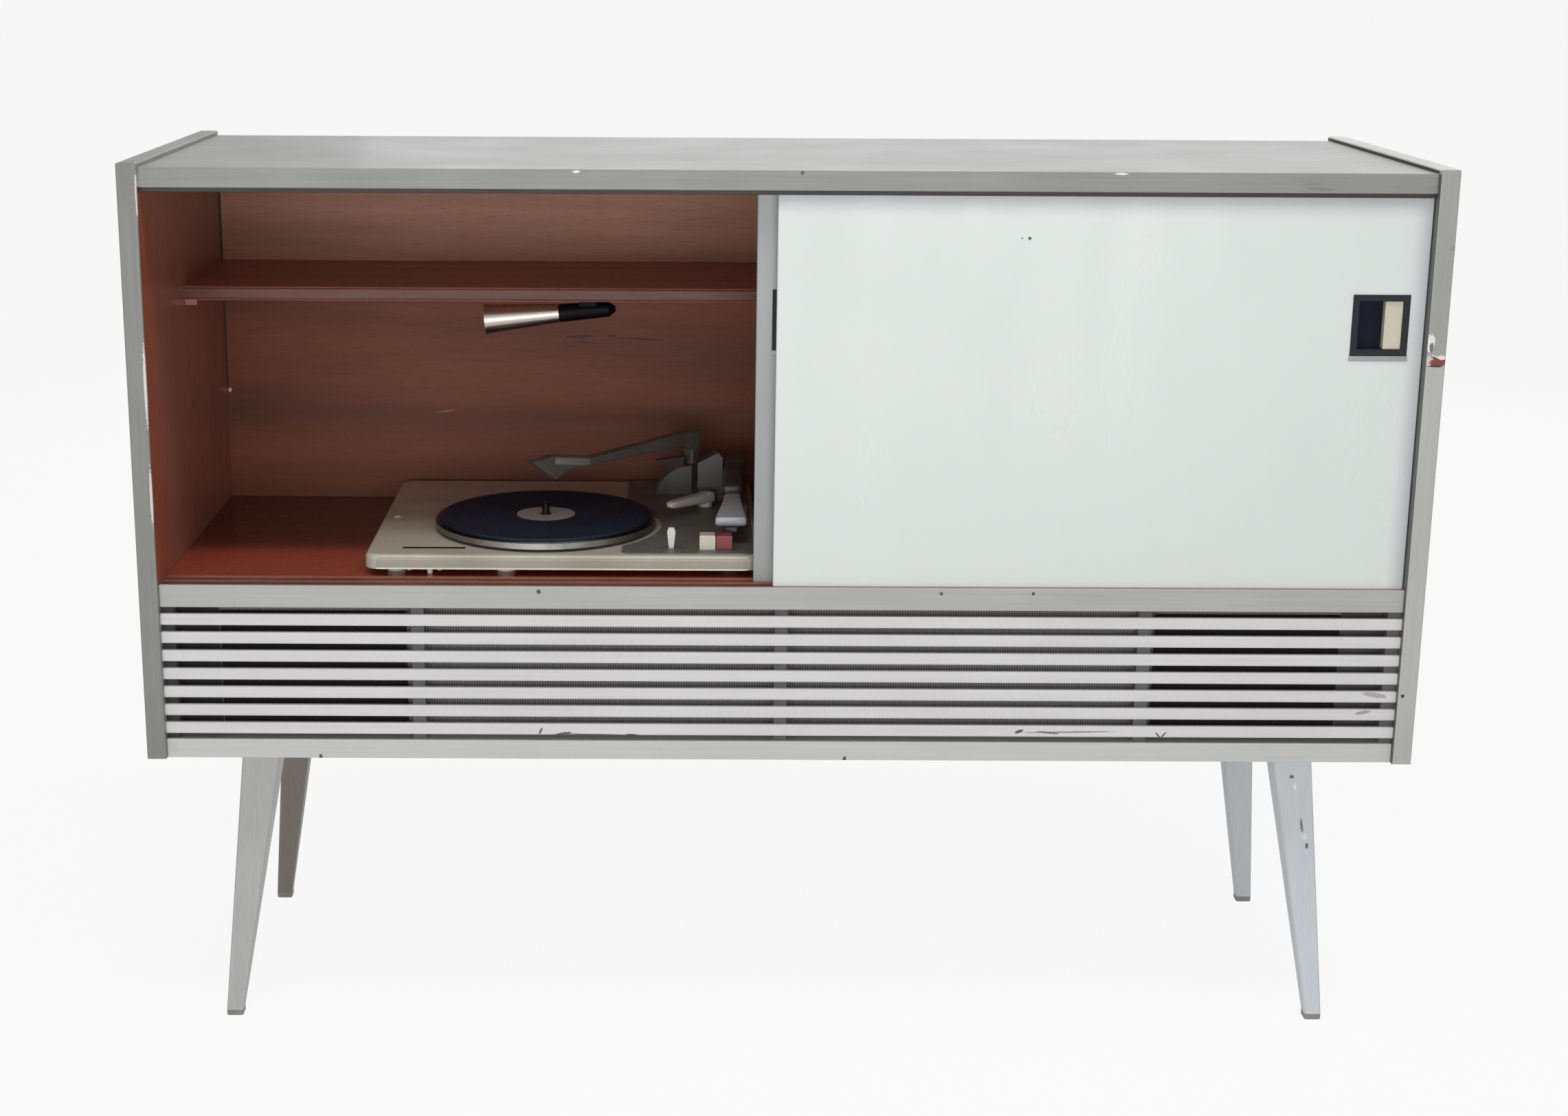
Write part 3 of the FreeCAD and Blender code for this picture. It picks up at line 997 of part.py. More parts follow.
def make_lamp():
    """Small lamp hung under the left shelf: a conical shade with a beaded mouth, its holder and its bulb."""
    length, wall = "shade_length", "shade_wall"

    def lay(thing):
        place(thing, LAMP_X, LAMP_Y, LAMP_Z, TO_RIGHT)
        return swing(thing, "90 - lamp_tilt")

    lip, roll = "shade_mouth + shade_bead", "2 * shade_bead"
    beside = f"shade_mouth - (shade_mouth - shade_neck) * {roll} / {length}"
    shade = revolve((f"shade_mouth - {wall}", "0"), (lip, "0"), (lip, roll), (beside, roll),
                    ("shade_neck", length), (f"shade_neck - {wall}", length))
    node("lamp_shade", lay(shade))

    seat = "shade_neck"
    socket = "bulb_cap + bulb_fit"
    end = f"{length} + holder_length"
    sleeve = revolve(("0", f"{length} + socket_depth"), (socket, f"{length} + socket_depth"),
                     (socket, length), (f"{seat} - holder_lip", length), (seat, f"{length} + holder_lip"),
                     (f"{seat} - holder_taper", f"{end} - holder_chamfer"),
                     (f"{seat} - holder_chamfer", end), ("0", end))
    lay(sleeve)
    middle = f"({LAMP_X} + {length} + holder_length / 2)"
    axis_rise = f"({LAMP_Z} + ({length} + holder_length / 2) * tan(lamp_tilt * 1deg))"
    bracket = box((f"{middle} - bracket_length / 2", f"{middle} + bracket_length / 2"),
                  (f"{LAMP_Y} - bracket_width / 2", f"{LAMP_Y} + bracket_width / 2"),
                  (axis_rise, SHELF_UNDER))
    bore = rod(socket, f"{length} + socket_depth", "0", "0", "0")
    lay(bore)
    node("lamp_holder", cut(fuse(sleeve, bracket), bore))

    tip = f"{length} - bulb_length"
    cap = f"{length} + socket_depth - bulb_fit"
    bulb = revolve(("0", tip), ("bulb_cap", f"{tip} + bulb_neck / 2"),
                   ("bulb_radius", f"{tip} + bulb_neck * 2"), ("bulb_radius", f"{length} - bulb_neck * 2"),
                   ("bulb_cap", f"{length} - bulb_neck / 2"), ("bulb_cap", cap), ("0", cap))
    node("lamp_bulb", lay(bulb))


def make_radio():
    """Radio in the right bay: a fascia with a dial behind glass, three knobs, and the valve chassis."""
    left, right = f"{HALF_PARTITION} + board_fit", f"{HALF_INNER} - board_fit"
    fascia = pad(add_body(), "y", FASCIA_FRONT, FASCIA_BACK,
                 rectangle(left, right, FLOOR_TOP, f"{FLOOR_TOP} + fascia_height"))
    half = "dial_width / 2"
    pocket(fascia, "y", FASCIA_FRONT, DIAL_FLOOR,
           rectangle(f"{BAY_X} - {half} + dial_ledge", f"{BAY_X} + {half} - dial_ledge",
                     f"{DIAL_LOW} + dial_ledge", f"{DIAL_HIGH} - dial_ledge"))
    pocket(fascia, "y", FASCIA_FRONT, f"{FASCIA_FRONT} + glass_thickness",
           rectangle(f"{BAY_X} - {half}", f"{BAY_X} + {half}", DIAL_LOW, DIAL_HIGH))
    knobs = (("volume_knob", "-1"), ("band_knob", "0"), ("tuning_knob", "1"))
    bores = [(f"{BAY_X} + {side} * knob_spread", KNOB_Z, "knob_shaft + running_gap") for _, side in knobs]
    pocket(fascia, "y", FASCIA_FRONT, FASCIA_BACK, *bores)
    node("radio_fascia", fascia)

    fit = "board_fit"
    glass = pad(add_body(), "y", FASCIA_FRONT, f"{FASCIA_FRONT} + glass_thickness",
                rectangle(f"{BAY_X} - {half} + {fit}", f"{BAY_X} + {half} - {fit}",
                          f"{DIAL_LOW} + {fit}", f"{DIAL_HIGH} - {fit}"))
    node("dial_glass", glass)

    low, high = f"{DIAL_LOW} + dial_ledge + pointer_clear", f"{DIAL_HIGH} - dial_ledge - pointer_margin"
    rail = f"{low} + carriage_height"
    thin, wide = "pointer_width / 2", "carriage_width / 2"
    outline = [(f"{BAY_X} - {wide}", low), (f"{BAY_X} + {wide}", low), (f"{BAY_X} + {wide}", rail),
               (f"{BAY_X} + {thin}", rail), (f"{BAY_X} + {thin}", high), (f"{BAY_X} - {thin}", high),
               (f"{BAY_X} - {thin}", rail), (f"{BAY_X} - {wide}", rail)]
    pointer = pad(add_body(), "y", f"{DIAL_FLOOR} - pointer_clear - pointer_thickness",
                  f"{DIAL_FLOOR} - pointer_clear", outline)
    node("dial_pointer", pointer)

    deep, inside, skirt = "knob_gap + knob_depth", "-fascia_thickness - knob_skirt", "knob_radius + knob_rim"
    for label, side in knobs:
        knob = revolve(("0", inside), ("knob_shaft", inside), ("knob_shaft", "knob_gap"), (skirt, "knob_gap"),
                       (skirt, "knob_gap + knob_rim"), ("knob_radius", "knob_gap + knob_skirt"),
                       ("knob_radius - knob_rim / 2", f"{deep} - knob_rim / 2"),
                       ("knob_radius - knob_rim", deep), ("0", f"{deep} - knob_rim / 2"))
        flutes = []
        for i in range(KNOB_FLUTES):
            angle = f"({i} * 360deg / {KNOB_FLUTES})"
            flutes.append(rod("flute_radius", "knob_depth", f"(knob_radius + flute_standoff) * cos({angle})",
                              f"(knob_radius + flute_standoff) * sin({angle})", "knob_gap + knob_skirt"))
        fluted = cut(knob, *flutes)
        node(label, place(fluted, f"{BAY_X} + {side} * knob_spread", FASCIA_FRONT, KNOB_Z, TO_FRONT))

    near = f"({FASCIA_BACK} + chassis_back)"
    far = f"({near} + chassis_depth)"
    west, east = f"({BAY_X} - chassis_width / 2)", f"({BAY_X} + chassis_width / 2)"
    roof = f"({FLOOR_TOP} + chassis_height)"
    tray = pad(add_body(), "z", FLOOR_TOP, roof, rectangle(west, east, near, far))
    wall = "chassis_wall"
    pocket(tray, "z", FLOOR_TOP, f"{roof} - {wall}",
           rectangle(f"{west} + {wall}", f"{east} - {wall}", f"{near} + {wall}", f"{far} - {wall}"))
    pocket(tray, "y", near, f"{near} + {wall}",
           *[(f"{BAY_X} + {side} * knob_spread", KNOB_Z, "knob_shaft + knob_gap") for _, side in knobs])
    margin = "chassis_margin"
    iron_x = (f"({east} - {margin} - transformer_size)", f"({east} - {margin})")
    iron_y = (f"({far} - {margin} - transformer_size)", f"({far} - {margin})")
    stack = box(iron_x, (f"{iron_y[0]} + stack_share", f"{iron_y[1]} - stack_share"),
                (roof, f"{roof} + transformer_height"))
    bells = box((f"{iron_x[0]} + bell_inset", f"{iron_x[1]} - bell_inset"), iron_y,
                (roof, f"{roof} + transformer_height - bell_inset"))
    gang_top, gang_floor = f"{roof} + gang_height", f"{roof} + gang_floor"
    first = f"{BAY_X} - gang_size / 2"
    step = f"(gang_size - vane_width) / {GANG_VANES - 1}"
    comb = [(first, roof), (f"{BAY_X} + gang_size / 2", roof)]
    for i in reversed(range(GANG_VANES)):
        left = f"{first} + {i} * {step}"
        comb += [(f"{left} + vane_width", gang_top), (left, gang_top)]
        if i:
            comb += [(left, gang_floor), (f"{left} - {step} + vane_width", gang_floor)]
    gang = pad(add_body(), "y", f"{near} + {margin}", f"{near} + {margin} + gang_size", comb)
    valves = []
    glass_top = "(valve_height - valve_pip)"
    for i in range(VALVES):
        valve = revolve(("0", "0"), ("valve_radius + socket_rim", "0"),
                        ("valve_radius + socket_rim", "socket_height"),
                        ("valve_radius", "socket_height"), ("valve_radius", f"{glass_top} - valve_radius"),
                        ("valve_radius / 2", f"{glass_top} - valve_radius / 4"), ("valve_pip / 2", glass_top),
                        ("0", "valve_height"))
        valves.append(place(valve, f"{west} + valve_inset + {i} * valve_pitch", f"{far} - valve_inset", roof))
    node("radio_chassis", together([tray, fuse(stack, bells), gang, *valves]))


def make_back_screws():
    """Domed screw heads along the back panel's top and bottom edges."""
    places = []
    for level in ("leg_height + bottom_thickness / 2", f"{TOP_FACE} - top_thickness / 2"):
        for i in (-2, -1, 0, 1, 2):
            places.append((f"{i} / 2 * ({HALF_INNER} - screw_edge)", level))
    screws = []
    for x, z in places:
        screw = revolve(("0", "0"), ("screw_radius", "0"), ("screw_radius / 2", "screw_head"),
                        ("0", "screw_head"))
        screws.append(place(screw, x, BACK_FACE, z, TO_BACK))
    node("back_screws", together(screws))


def check_and_write():
    """Refuse a document with a failed object, then write each sub-part's solid."""
    doc.recompute()
    failed = [item.Name for item in doc.Objects if {"Invalid", "Error"} & set(item.State)]
    bad = [item.Label for item in nodes if item.Shape.isNull() or not item.Shape.isValid()]
    if failed or bad:
        raise RuntimeError(f"failed objects {failed}, bad sub-parts {bad}")
    os.makedirs("parts", exist_ok=True)
    for item in nodes:
        item.Shape.exportStep(f"parts/{item.Label}.step")
        print(f"{item.Label}: {len(item.Shape.Solids)} solids, {item.Shape.Volume / 1000:.1f} cm3")
    print(len(nodes), "sub-parts")


make_side_panels()
make_top_panel()
make_compartment_floor()
make_bottom_panel()
make_back_panel()
make_lead_grommet()
make_back_screws()
make_partition()
make_shelves()
make_tracks()
make_grille()
make_speakers()
make_doors()
make_legs()
make_deck()
make_platter()
make_drive()
make_turret()
make_pickup_arm()
make_arm_rest()
make_overarm()
make_controls()
make_lamp()
make_radio()
check_and_write()
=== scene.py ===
"""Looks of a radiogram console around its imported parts.

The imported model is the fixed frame: its parts are dressed in procedural finishes, and pieces are added that
give the console its surface, such as the mat's ribs, the loudspeaker cloth, the pickup arm's shell and the
dial's print. Sizes in the classes are millimetres in the object's frame; meshes are made in metres.
"""

import json
import logging
from abc import ABC, abstractmethod
from dataclasses import dataclass
from enum import Enum
from typing import ClassVar

import bmesh
import bpy
import numpy as np
from mathutils import Matrix, Vector


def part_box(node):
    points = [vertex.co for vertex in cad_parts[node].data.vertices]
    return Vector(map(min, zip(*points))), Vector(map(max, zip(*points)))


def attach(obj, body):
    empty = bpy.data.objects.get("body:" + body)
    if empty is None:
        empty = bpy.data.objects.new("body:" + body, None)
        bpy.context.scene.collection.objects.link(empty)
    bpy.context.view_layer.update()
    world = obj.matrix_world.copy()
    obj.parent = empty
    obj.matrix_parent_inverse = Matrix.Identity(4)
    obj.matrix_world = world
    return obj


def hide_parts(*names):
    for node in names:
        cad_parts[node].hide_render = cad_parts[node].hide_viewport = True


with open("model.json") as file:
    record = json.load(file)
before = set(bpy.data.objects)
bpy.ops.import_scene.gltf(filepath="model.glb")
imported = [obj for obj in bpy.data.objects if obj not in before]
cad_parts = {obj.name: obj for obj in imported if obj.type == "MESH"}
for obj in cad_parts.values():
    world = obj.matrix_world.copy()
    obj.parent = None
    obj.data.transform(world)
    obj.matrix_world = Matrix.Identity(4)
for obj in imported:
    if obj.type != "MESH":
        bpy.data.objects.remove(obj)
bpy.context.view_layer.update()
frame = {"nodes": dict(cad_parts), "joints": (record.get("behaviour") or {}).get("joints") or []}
MM = 0.001
log = logging.getLogger("console")

Tree = bpy.types.NodeTree
Socket = bpy.types.NodeSocket
Point = tuple[float, float, float]
Pair = tuple[float, float]
Mesh = tuple[np.ndarray, np.ndarray]
# Low and high value of a pattern, and what each of them becomes
Ramp = tuple[float, float, float, float]
# Low and high level of a block along an axis, None where it is open
Span = tuple[float | None, float | None]
OPEN: Span = (None, None)

# Inputs of a node that mixes: its share, two values, two colours; and the settings for colours
SHARE, VALUE_UNDER, VALUE_OVER, UNDER, OVER = 0, 2, 3, 6, 7
COLOURS = {"out": 2, "data_type": "RGBA"}

# Columns are where a piece's own x, y and z point: z out of the front, out of the back, along +X, and up
FACING_FRONT = np.array([[1, 0, 0], [0, 0, -1], [0, 1, 0]], float)
FACING_BACK = np.array([[-1, 0, 0], [0, 0, 1], [0, 1, 0]], float)
FACING_RIGHT = np.array([[0, 0, 1], [1, 0, 0], [0, 1, 0]], float)
FACING_UP = np.eye(3)

# Lumps along the ragged edge of a mark, and how the edge softens
RAGGED_SIZE = 10 / 7
MARK_EDGE: Ramp = (1.5, 1.3, 0.0, 1.0)
FIBRE_ROUGHNESS = 0.6
VARNISH_ROUGHNESS = 0.12
# A wave pattern repeats every 0.314 of its own unit
WAVE_REPEAT = 0.314

# Distance within which points count as one, in metres, and the angle past which an arris is softened
SAME_POINT = 1e-6
SAME_CORNER = 1e-5
ARRIS_ANGLE = 40.0


class Axis(Enum):
    """Direction of a grain, a brush stroke, a thread or a fade."""

    X = 0
    Y = 1
    Z = 2


def linear(colour: str) -> tuple[float, float, float, float]:
    """Turn an sRGB hex colour into linear light.

    Args:
        colour: a word such as "#a3a49f".
    Returns:
        Red, green, blue and an alpha of one.
    """
    part = np.array([int(colour[i:i + 2], 16) for i in (1, 3, 5)]) / 255
    light = np.where(part <= 0.04045, part / 12.92, ((part + 0.055) / 1.055) ** 2.4)
    return (*light.tolist(), 1.0)


def add(tree: Tree, kind: str, inputs: dict | tuple = (), out: str | int | None = 0,
        **settings) -> Socket | None:
    """Add a node to a tree, with its settings, its values and its links.

    Args:
        tree: the material's or world's tree.
        kind: the node's type name, without the prefix that all of them share.
        inputs: values or sockets by input name or number, or in the order of the inputs.
        out: name or number of the output to give back, or None.
        settings: the node's own properties.
    Returns:
        The chosen output socket.
    """
    made = tree.nodes.new("ShaderNode" + kind)
    for key, value in settings.items():
        setattr(made, key, value)
    for key, value in inputs.items() if isinstance(inputs, dict) else enumerate(inputs):
        if isinstance(value, Socket):
            tree.links.new(value, made.inputs[key])
        else:
            made.inputs[key].default_value = value
    return None if out is None else made.outputs[out]


def blank_tree(owner: bpy.types.Material | bpy.types.World) -> Tree:
    """Turn on the nodes of a material or a world, and take out those it starts with."""
    owner.use_nodes = True
    owner.node_tree.nodes.clear()
    return owner.node_tree


def put(name: str, data: bpy.types.ID) -> bpy.types.Object:
    """Make an object of a mesh, lamp, camera or text, and put it into the scene."""
    made = bpy.data.objects.new(name, data)
    bpy.context.scene.collection.objects.link(made)
    return made


@dataclass(frozen=True)
class Layer:
    """Sockets that describe one surface: colour, roughness, and height from 0 to 1."""

    colour: Socket
    roughness: Socket
    height: Socket


@dataclass(frozen=True)
class Mark:
    """Chip, dot or scratch: an ellipsoid of half sizes about a place, turned about the front's normal."""

    place: Point
    half: Point
    colour: str
    turn: float = 0.0


@dataclass(frozen=True)
class Fade:
    """Another colour that comes in along an axis: none at the first level, its full share at the second."""

    colour: str
    axis: Axis
    start: float
    full: float
    share: float = 0.8


def on_face(y: float, *rows: tuple) -> tuple[Mark, ...]:
    """Marks on one upright face.

    Args:
        y: where the face lies.
        rows: x and z of each mark, its half sizes, its colour, and its turn if it has one.
    Returns:
        The marks in their order.
    """
    return tuple(Mark((x, y, z), half, *rest) for x, z, half, *rest in rows)


def stretched(tree: Tree, coords: Socket, along: Axis, length: float, across: float,
              detail: float = 3.0) -> Socket:
    """Noise drawn out along one axis, as brush strokes and wood fibres are.

    Args:
        tree: the material's tree.
        coords: object coordinates in metres.
        along: the axis that it is drawn along.
        length: length of a stroke in millimetres.
        across: width of a stroke in millimetres.
        detail: octaves of finer noise.
    Returns:
        Socket of values about a half.
    """
    scale = np.full(3, 1 / (across * MM))
    scale[along.value] = 1 / (length * MM)
    drawn = add(tree, "Mapping", {"Vector": coords, "Scale": scale.tolist()})
    return add(tree, "TexNoise", {"Vector": drawn, "Scale": 1.0, "Detail": detail,
                                  "Roughness": FIBRE_ROUGHNESS})


def marked(tree: Tree, coords: Socket, colour: Socket, marks: tuple[Mark, ...]) -> Socket:
    """Set marks into a colour, each with a ragged edge.

    Args:
        tree: the material's tree.
        coords: object coordinates in metres.
        colour: the colour below the marks.
        marks: what is set into it.
    Returns:
        Socket of the marked colour.
    """
    if marks:
        ragged = add(tree, "TexNoise", {"Vector": coords, "Scale": 1 / (RAGGED_SIZE * MM), "Detail": 3.0})
    for mark in marks:
        local = add(tree, "Mapping",
                    {"Vector": coords, "Location": [v * MM for v in mark.place],
                     "Rotation": [0, np.radians(mark.turn), 0], "Scale": [v * MM for v in mark.half]},
                    vector_type="TEXTURE")
        reach = add(tree, "VectorMath", (local,), "Value", operation="LENGTH")
        reach = add(tree, "Math", (reach, ragged), operation="ADD")
        inside = add(tree, "MapRange", (reach, *MARK_EDGE))
        colour = add(tree, "Mix", {SHARE: inside, UNDER: colour, OVER: linear(mark.colour)}, **COLOURS)
    return colour


def faded(tree: Tree, coords: Socket, colour: Socket, fades: tuple[Fade, ...]) -> Socket:
    """Lay fades over a colour.

    Args:
        tree: the material's tree.
        coords: object coordinates in metres.
        colour: the colour below the fades.
        fades: what comes in over it.
    Returns:
        Socket of the faded colour.
    """
    for fade in fades:
        level = add(tree, "SeparateXYZ", (coords,), fade.axis.value)
        amount = add(tree, "MapRange", (level, fade.start * MM, fade.full * MM, 0.0, fade.share),
                     interpolation_type="SMOOTHSTEP")
        colour = add(tree, "Mix", {SHARE: amount, UNDER: colour, OVER: linear(fade.colour)}, **COLOURS)
    return colour


class Coat(ABC):
    """One kind of surface that a finish can lay on a piece."""

    roughness: float

    @abstractmethod
    def lay(self, tree: Tree, coords: Socket) -> Layer:
        """Add this surface's nodes and give its sockets.

        Args:
            tree: the material's tree.
            coords: object coordinates in metres.
        Returns:
            The surface's sockets.
        """

    def gloss(self, tree: Tree, pattern: Socket, ramp: Ramp) -> Socket:
        """Roughness that leaves its usual value as a pattern rises and falls.

        Args:
            tree: the material's tree.
            pattern: what it follows.
            ramp: low and high value of the pattern, and what the roughness gains at each.
        Returns:
            Socket of the roughness.
        """
        low, high, at_low, at_high = ramp
        return add(tree, "MapRange", (pattern, low, high, self.roughness + at_low, self.roughness + at_high))


@dataclass(frozen=True)
class BrushedPaint(Coat):
    """Satin alkyd paint brushed on boards: faint strokes, soft blotches, pale rubbed arrises and nicks."""

    colour: str
    grime: str
    along: Axis
    rubbed: str = "#dddcd8"
    roughness: float = 0.42
    wear: float = 0.5
    marks: tuple[Mark, ...] = ()
    stroke: Pair = (160.0, 2.6)
    blotch: float = 140.0
    arris: float = 1.3
    fades: tuple[Fade, ...] = ()

    DIRT: ClassVar[Ramp] = (0.8, 1.4, 0.0, 0.55)
    # Cosine between the rounded and the flat normal where rubbing starts, and where it is full
    RUBBING: ClassVar[Pair] = (0.99, 0.86)
    PATCHY: ClassVar[Ramp] = (0.42, 0.6, 0.15, 1.0)
    GLOSS: ClassVar[Ramp] = (0.6, 1.4, -0.07, 0.1)

    def lay(self, tree: Tree, coords: Socket) -> Layer:
        """Mix paint and grime by strokes and blotches, rub the arrises, fade it and set the marks."""
        strokes = stretched(tree, coords, self.along, *self.stroke)
        blotches = add(tree, "TexNoise", {"Vector": coords, "Scale": 1 / (self.blotch * MM), "Detail": 4.0})
        both = add(tree, "Math", (strokes, blotches), operation="ADD")
        dirt = add(tree, "MapRange", (both, *self.DIRT))
        paint = {SHARE: dirt, UNDER: linear(self.colour), OVER: linear(self.grime)}
        colour = add(tree, "Mix", paint, **COLOURS)
        rounded = add(tree, "Bevel", {"Radius": self.arris * MM}, samples=4)
        flat = add(tree, "NewGeometry", out="Normal")
        facing = add(tree, "VectorMath", (rounded, flat), "Value", operation="DOT_PRODUCT")
        edge = add(tree, "MapRange", (facing, *self.RUBBING, 0.0, self.wear))
        patchy = add(tree, "MapRange", (blotches, *self.PATCHY))
        rub = add(tree, "Math", (edge, patchy), operation="MULTIPLY")
        colour = add(tree, "Mix", {SHARE: rub, UNDER: colour, OVER: linear(self.rubbed)}, **COLOURS)
        colour = marked(tree, coords, faded(tree, coords, colour, self.fades), self.marks)
        return Layer(colour, self.gloss(tree, both, self.GLOSS), strokes)


@dataclass(frozen=True)
class Veneer(Coat):
    """Sliced wood under varnish: broad figure, fine fibres and dark open pores along the grain."""

    pale: str
    dark: str
    pore: str
    along: Axis
    roughness: float = 0.3
    figure: Pair = (420.0, 26.0)
    fibre: Pair = (55.0, 1.1)
    pores: Pair = (16.0, 0.9)
    fades: tuple[Fade, ...] = ()
    fibre_share: float = 1.0
    marks: tuple[Mark, ...] = ()

    # Values of one noise at which the wood is dark, and pale
    WOOD: ClassVar[Pair] = (0.36, 0.65)
    PORE: ClassVar[Ramp] = (0.6, 0.72, 0.0, 0.7)
    GLOSS: ClassVar[Ramp] = (0.3, 0.7, -0.05, 0.1)

    def lay(self, tree: Tree, coords: Socket) -> Layer:
        """Mix pale and dark wood by figure and fibre, fade it, cut in the pores and set the marks."""
        figure = stretched(tree, coords, self.along, *self.figure, 4.0)
        fibre = stretched(tree, coords, self.along, *self.fibre)
        both = add(tree, "Math", (fibre, self.fibre_share, figure), operation="MULTIPLY_ADD")
        wood = add(tree, "MapRange", (both, *(level * (1 + self.fibre_share) for level in self.WOOD)))
        colour = add(tree, "Mix", {SHARE: wood, UNDER: linear(self.dark), OVER: linear(self.pale)}, **COLOURS)
        colour = faded(tree, coords, colour, self.fades)
        hole = stretched(tree, coords, self.along, *self.pores, 2.0)
        open_pore = add(tree, "MapRange", (hole, *self.PORE))
        colour = add(tree, "Mix", {SHARE: open_pore, UNDER: colour, OVER: linear(self.pore)}, **COLOURS)
        colour = marked(tree, coords, colour, self.marks)
        height = add(tree, "Math", (1.0, open_pore), operation="SUBTRACT")
        return Layer(colour, self.gloss(tree, fibre, self.GLOSS), height)


@dataclass(frozen=True)
class Moulding(Coat):
    """Moulded or enamelled skin: one colour that clouds a little, fine orange peel and specks of dust."""

    colour: str
    cloud: str
    roughness: float = 0.35
    cloud_size: float = 30.0
    peel: float = 1.2
    speck: str = ""

    CLOUDED: ClassVar[Pair] = (0.35, 0.7)
    SPECKS: ClassVar[Ramp] = (0.72, 0.78, 0.0, 0.6)
    GLOSS: ClassVar[Ramp] = (0.3, 0.7, -0.05, 0.08)

    def lay(self, tree: Tree, coords: Socket) -> Layer:
        """Cloud the colour, vary the gloss and scatter the specks."""
        clouds = add(tree, "TexNoise", {"Vector": coords, "Scale": 1 / (self.cloud_size * MM), "Detail": 4.0})
        amount = add(tree, "MapRange", (clouds, *self.CLOUDED))
        skin = {SHARE: amount, UNDER: linear(self.colour), OVER: linear(self.cloud)}
        colour = add(tree, "Mix", skin, **COLOURS)
        peel = add(tree, "TexNoise", {"Vector": coords, "Scale": 1 / (self.peel * MM), "Detail": 2.0})
        if self.speck:
            dots = add(tree, "MapRange", (peel, *self.SPECKS))
            colour = add(tree, "Mix", {SHARE: dots, UNDER: colour, OVER: linear(self.speck)}, **COLOURS)
        return Layer(colour, self.gloss(tree, clouds, self.GLOSS), peel)


@dataclass(frozen=True)
class Woven(Coat):
    """Plain weave of two threads, one upright and one level, that pass over and under each other."""

    warp: str
    weft: str
    pitch: float
    roughness: float = 0.85

    HOLLOW_PAINTED_SHADE: ClassVar[Ramp] = (0.3, 0.9, 0.35, 1.0)
    GLOSS: ClassVar[Ramp] = (0.0, 1.0, 0.1, 0.0)

    def lay(self, tree: Tree, coords: Socket) -> Layer:
        """Cross two bands of waves; the higher thread at a point gives its colour, and the weave's hollows
        are darkened as painted shade.
        """
        wave = {"Vector": coords, "Scale": WAVE_REPEAT / (self.pitch * MM), "Distortion": 0.25, "Detail": 1.0}
        bands = [add(tree, "TexWave", wave, 1, bands_direction=axis.name) for axis in (Axis.X, Axis.Z)]
        over = add(tree, "Math", tuple(bands), operation="GREATER_THAN")
        colour = add(tree, "Mix", {SHARE: over, UNDER: linear(self.weft), OVER: linear(self.warp)}, **COLOURS)
        # Painted shade in the hollows between the threads
        height = add(tree, "Math", tuple(bands), operation="MAXIMUM")
        shade = add(tree, "MapRange", (height, *self.HOLLOW_PAINTED_SHADE))
        colour = add(tree, "Mix", {SHARE: 1.0, UNDER: colour, OVER: shade}, blend_type="MULTIPLY", **COLOURS)
        return Layer(colour, self.gloss(tree, height, self.GLOSS), height)


@dataclass(frozen=True)
class Metal(Coat):
    """Plated or turned metal: smudges in its gloss, and turning rings about its centre if it has one."""

    colour: str
    tarnish: str
    roughness: float = 0.15
    centre: Pair | None = None
    ring: float = 1.6
    handled: float = 0.2

    SMUDGE_SIZE: ClassVar[float] = 50 / 3
    TARNISHED: ClassVar[Ramp] = (0.45, 0.75, 0.0, 0.8)

    def lay(self, tree: Tree, coords: Socket) -> Layer:
        """Tarnish the colour by smudges, and cut rings at a steady pitch from the centre."""
        smudge = add(tree, "TexNoise", {"Vector": coords, "Scale": 1 / (self.SMUDGE_SIZE * MM), "Detail": 5.0,
                                        "Roughness": 0.65})
        amount = add(tree, "MapRange", (smudge, *self.TARNISHED))
        plating = {SHARE: amount, UNDER: linear(self.colour), OVER: linear(self.tarnish)}
        colour = add(tree, "Mix", plating, **COLOURS)
        rough = self.gloss(tree, smudge, (0.3, 0.75, 0.0, self.handled))
        if self.centre is None:
            return Layer(colour, rough, smudge)
        flat = add(tree, "Mapping", {"Vector": coords, "Location": [-v * MM for v in self.centre] + [0.0],
                                     "Scale": [1.0, 1.0, 0.0]})
        radius = add(tree, "VectorMath", (flat,), "Value", operation="LENGTH")
        phase = add(tree, "Math", (radius, 2 * np.pi / (self.ring * MM)), operation="MULTIPLY")
        rings = add(tree, "Math", (phase,), operation="SINE")
        return Layer(colour, rough, add(tree, "MapRange", (rings, -1.0, 1.0)))


@dataclass(frozen=True)
class Patch:
    """Another coat within a block."""

    coat: Coat
    x: Span = OPEN
    y: Span = OPEN
    z: Span = OPEN

    def mask(self, tree: Tree, coords: Socket) -> Socket:
        """One inside the block, else zero.

        Args:
            tree: the material's tree.
            coords: object coordinates in metres.
        Returns:
            Socket of the mask.
        """
        whole = None
        for axis, span in enumerate((self.x, self.y, self.z)):
            for level, test in zip(span, ("GREATER_THAN", "LESS_THAN")):
                if level is None:
                    continue
                along = add(tree, "SeparateXYZ", (coords,), axis)
                side = add(tree, "Math", (along, level * MM), operation=test)
                whole = side if whole is None else add(tree, "Math", (whole, side), operation="MULTIPLY")
        return whole


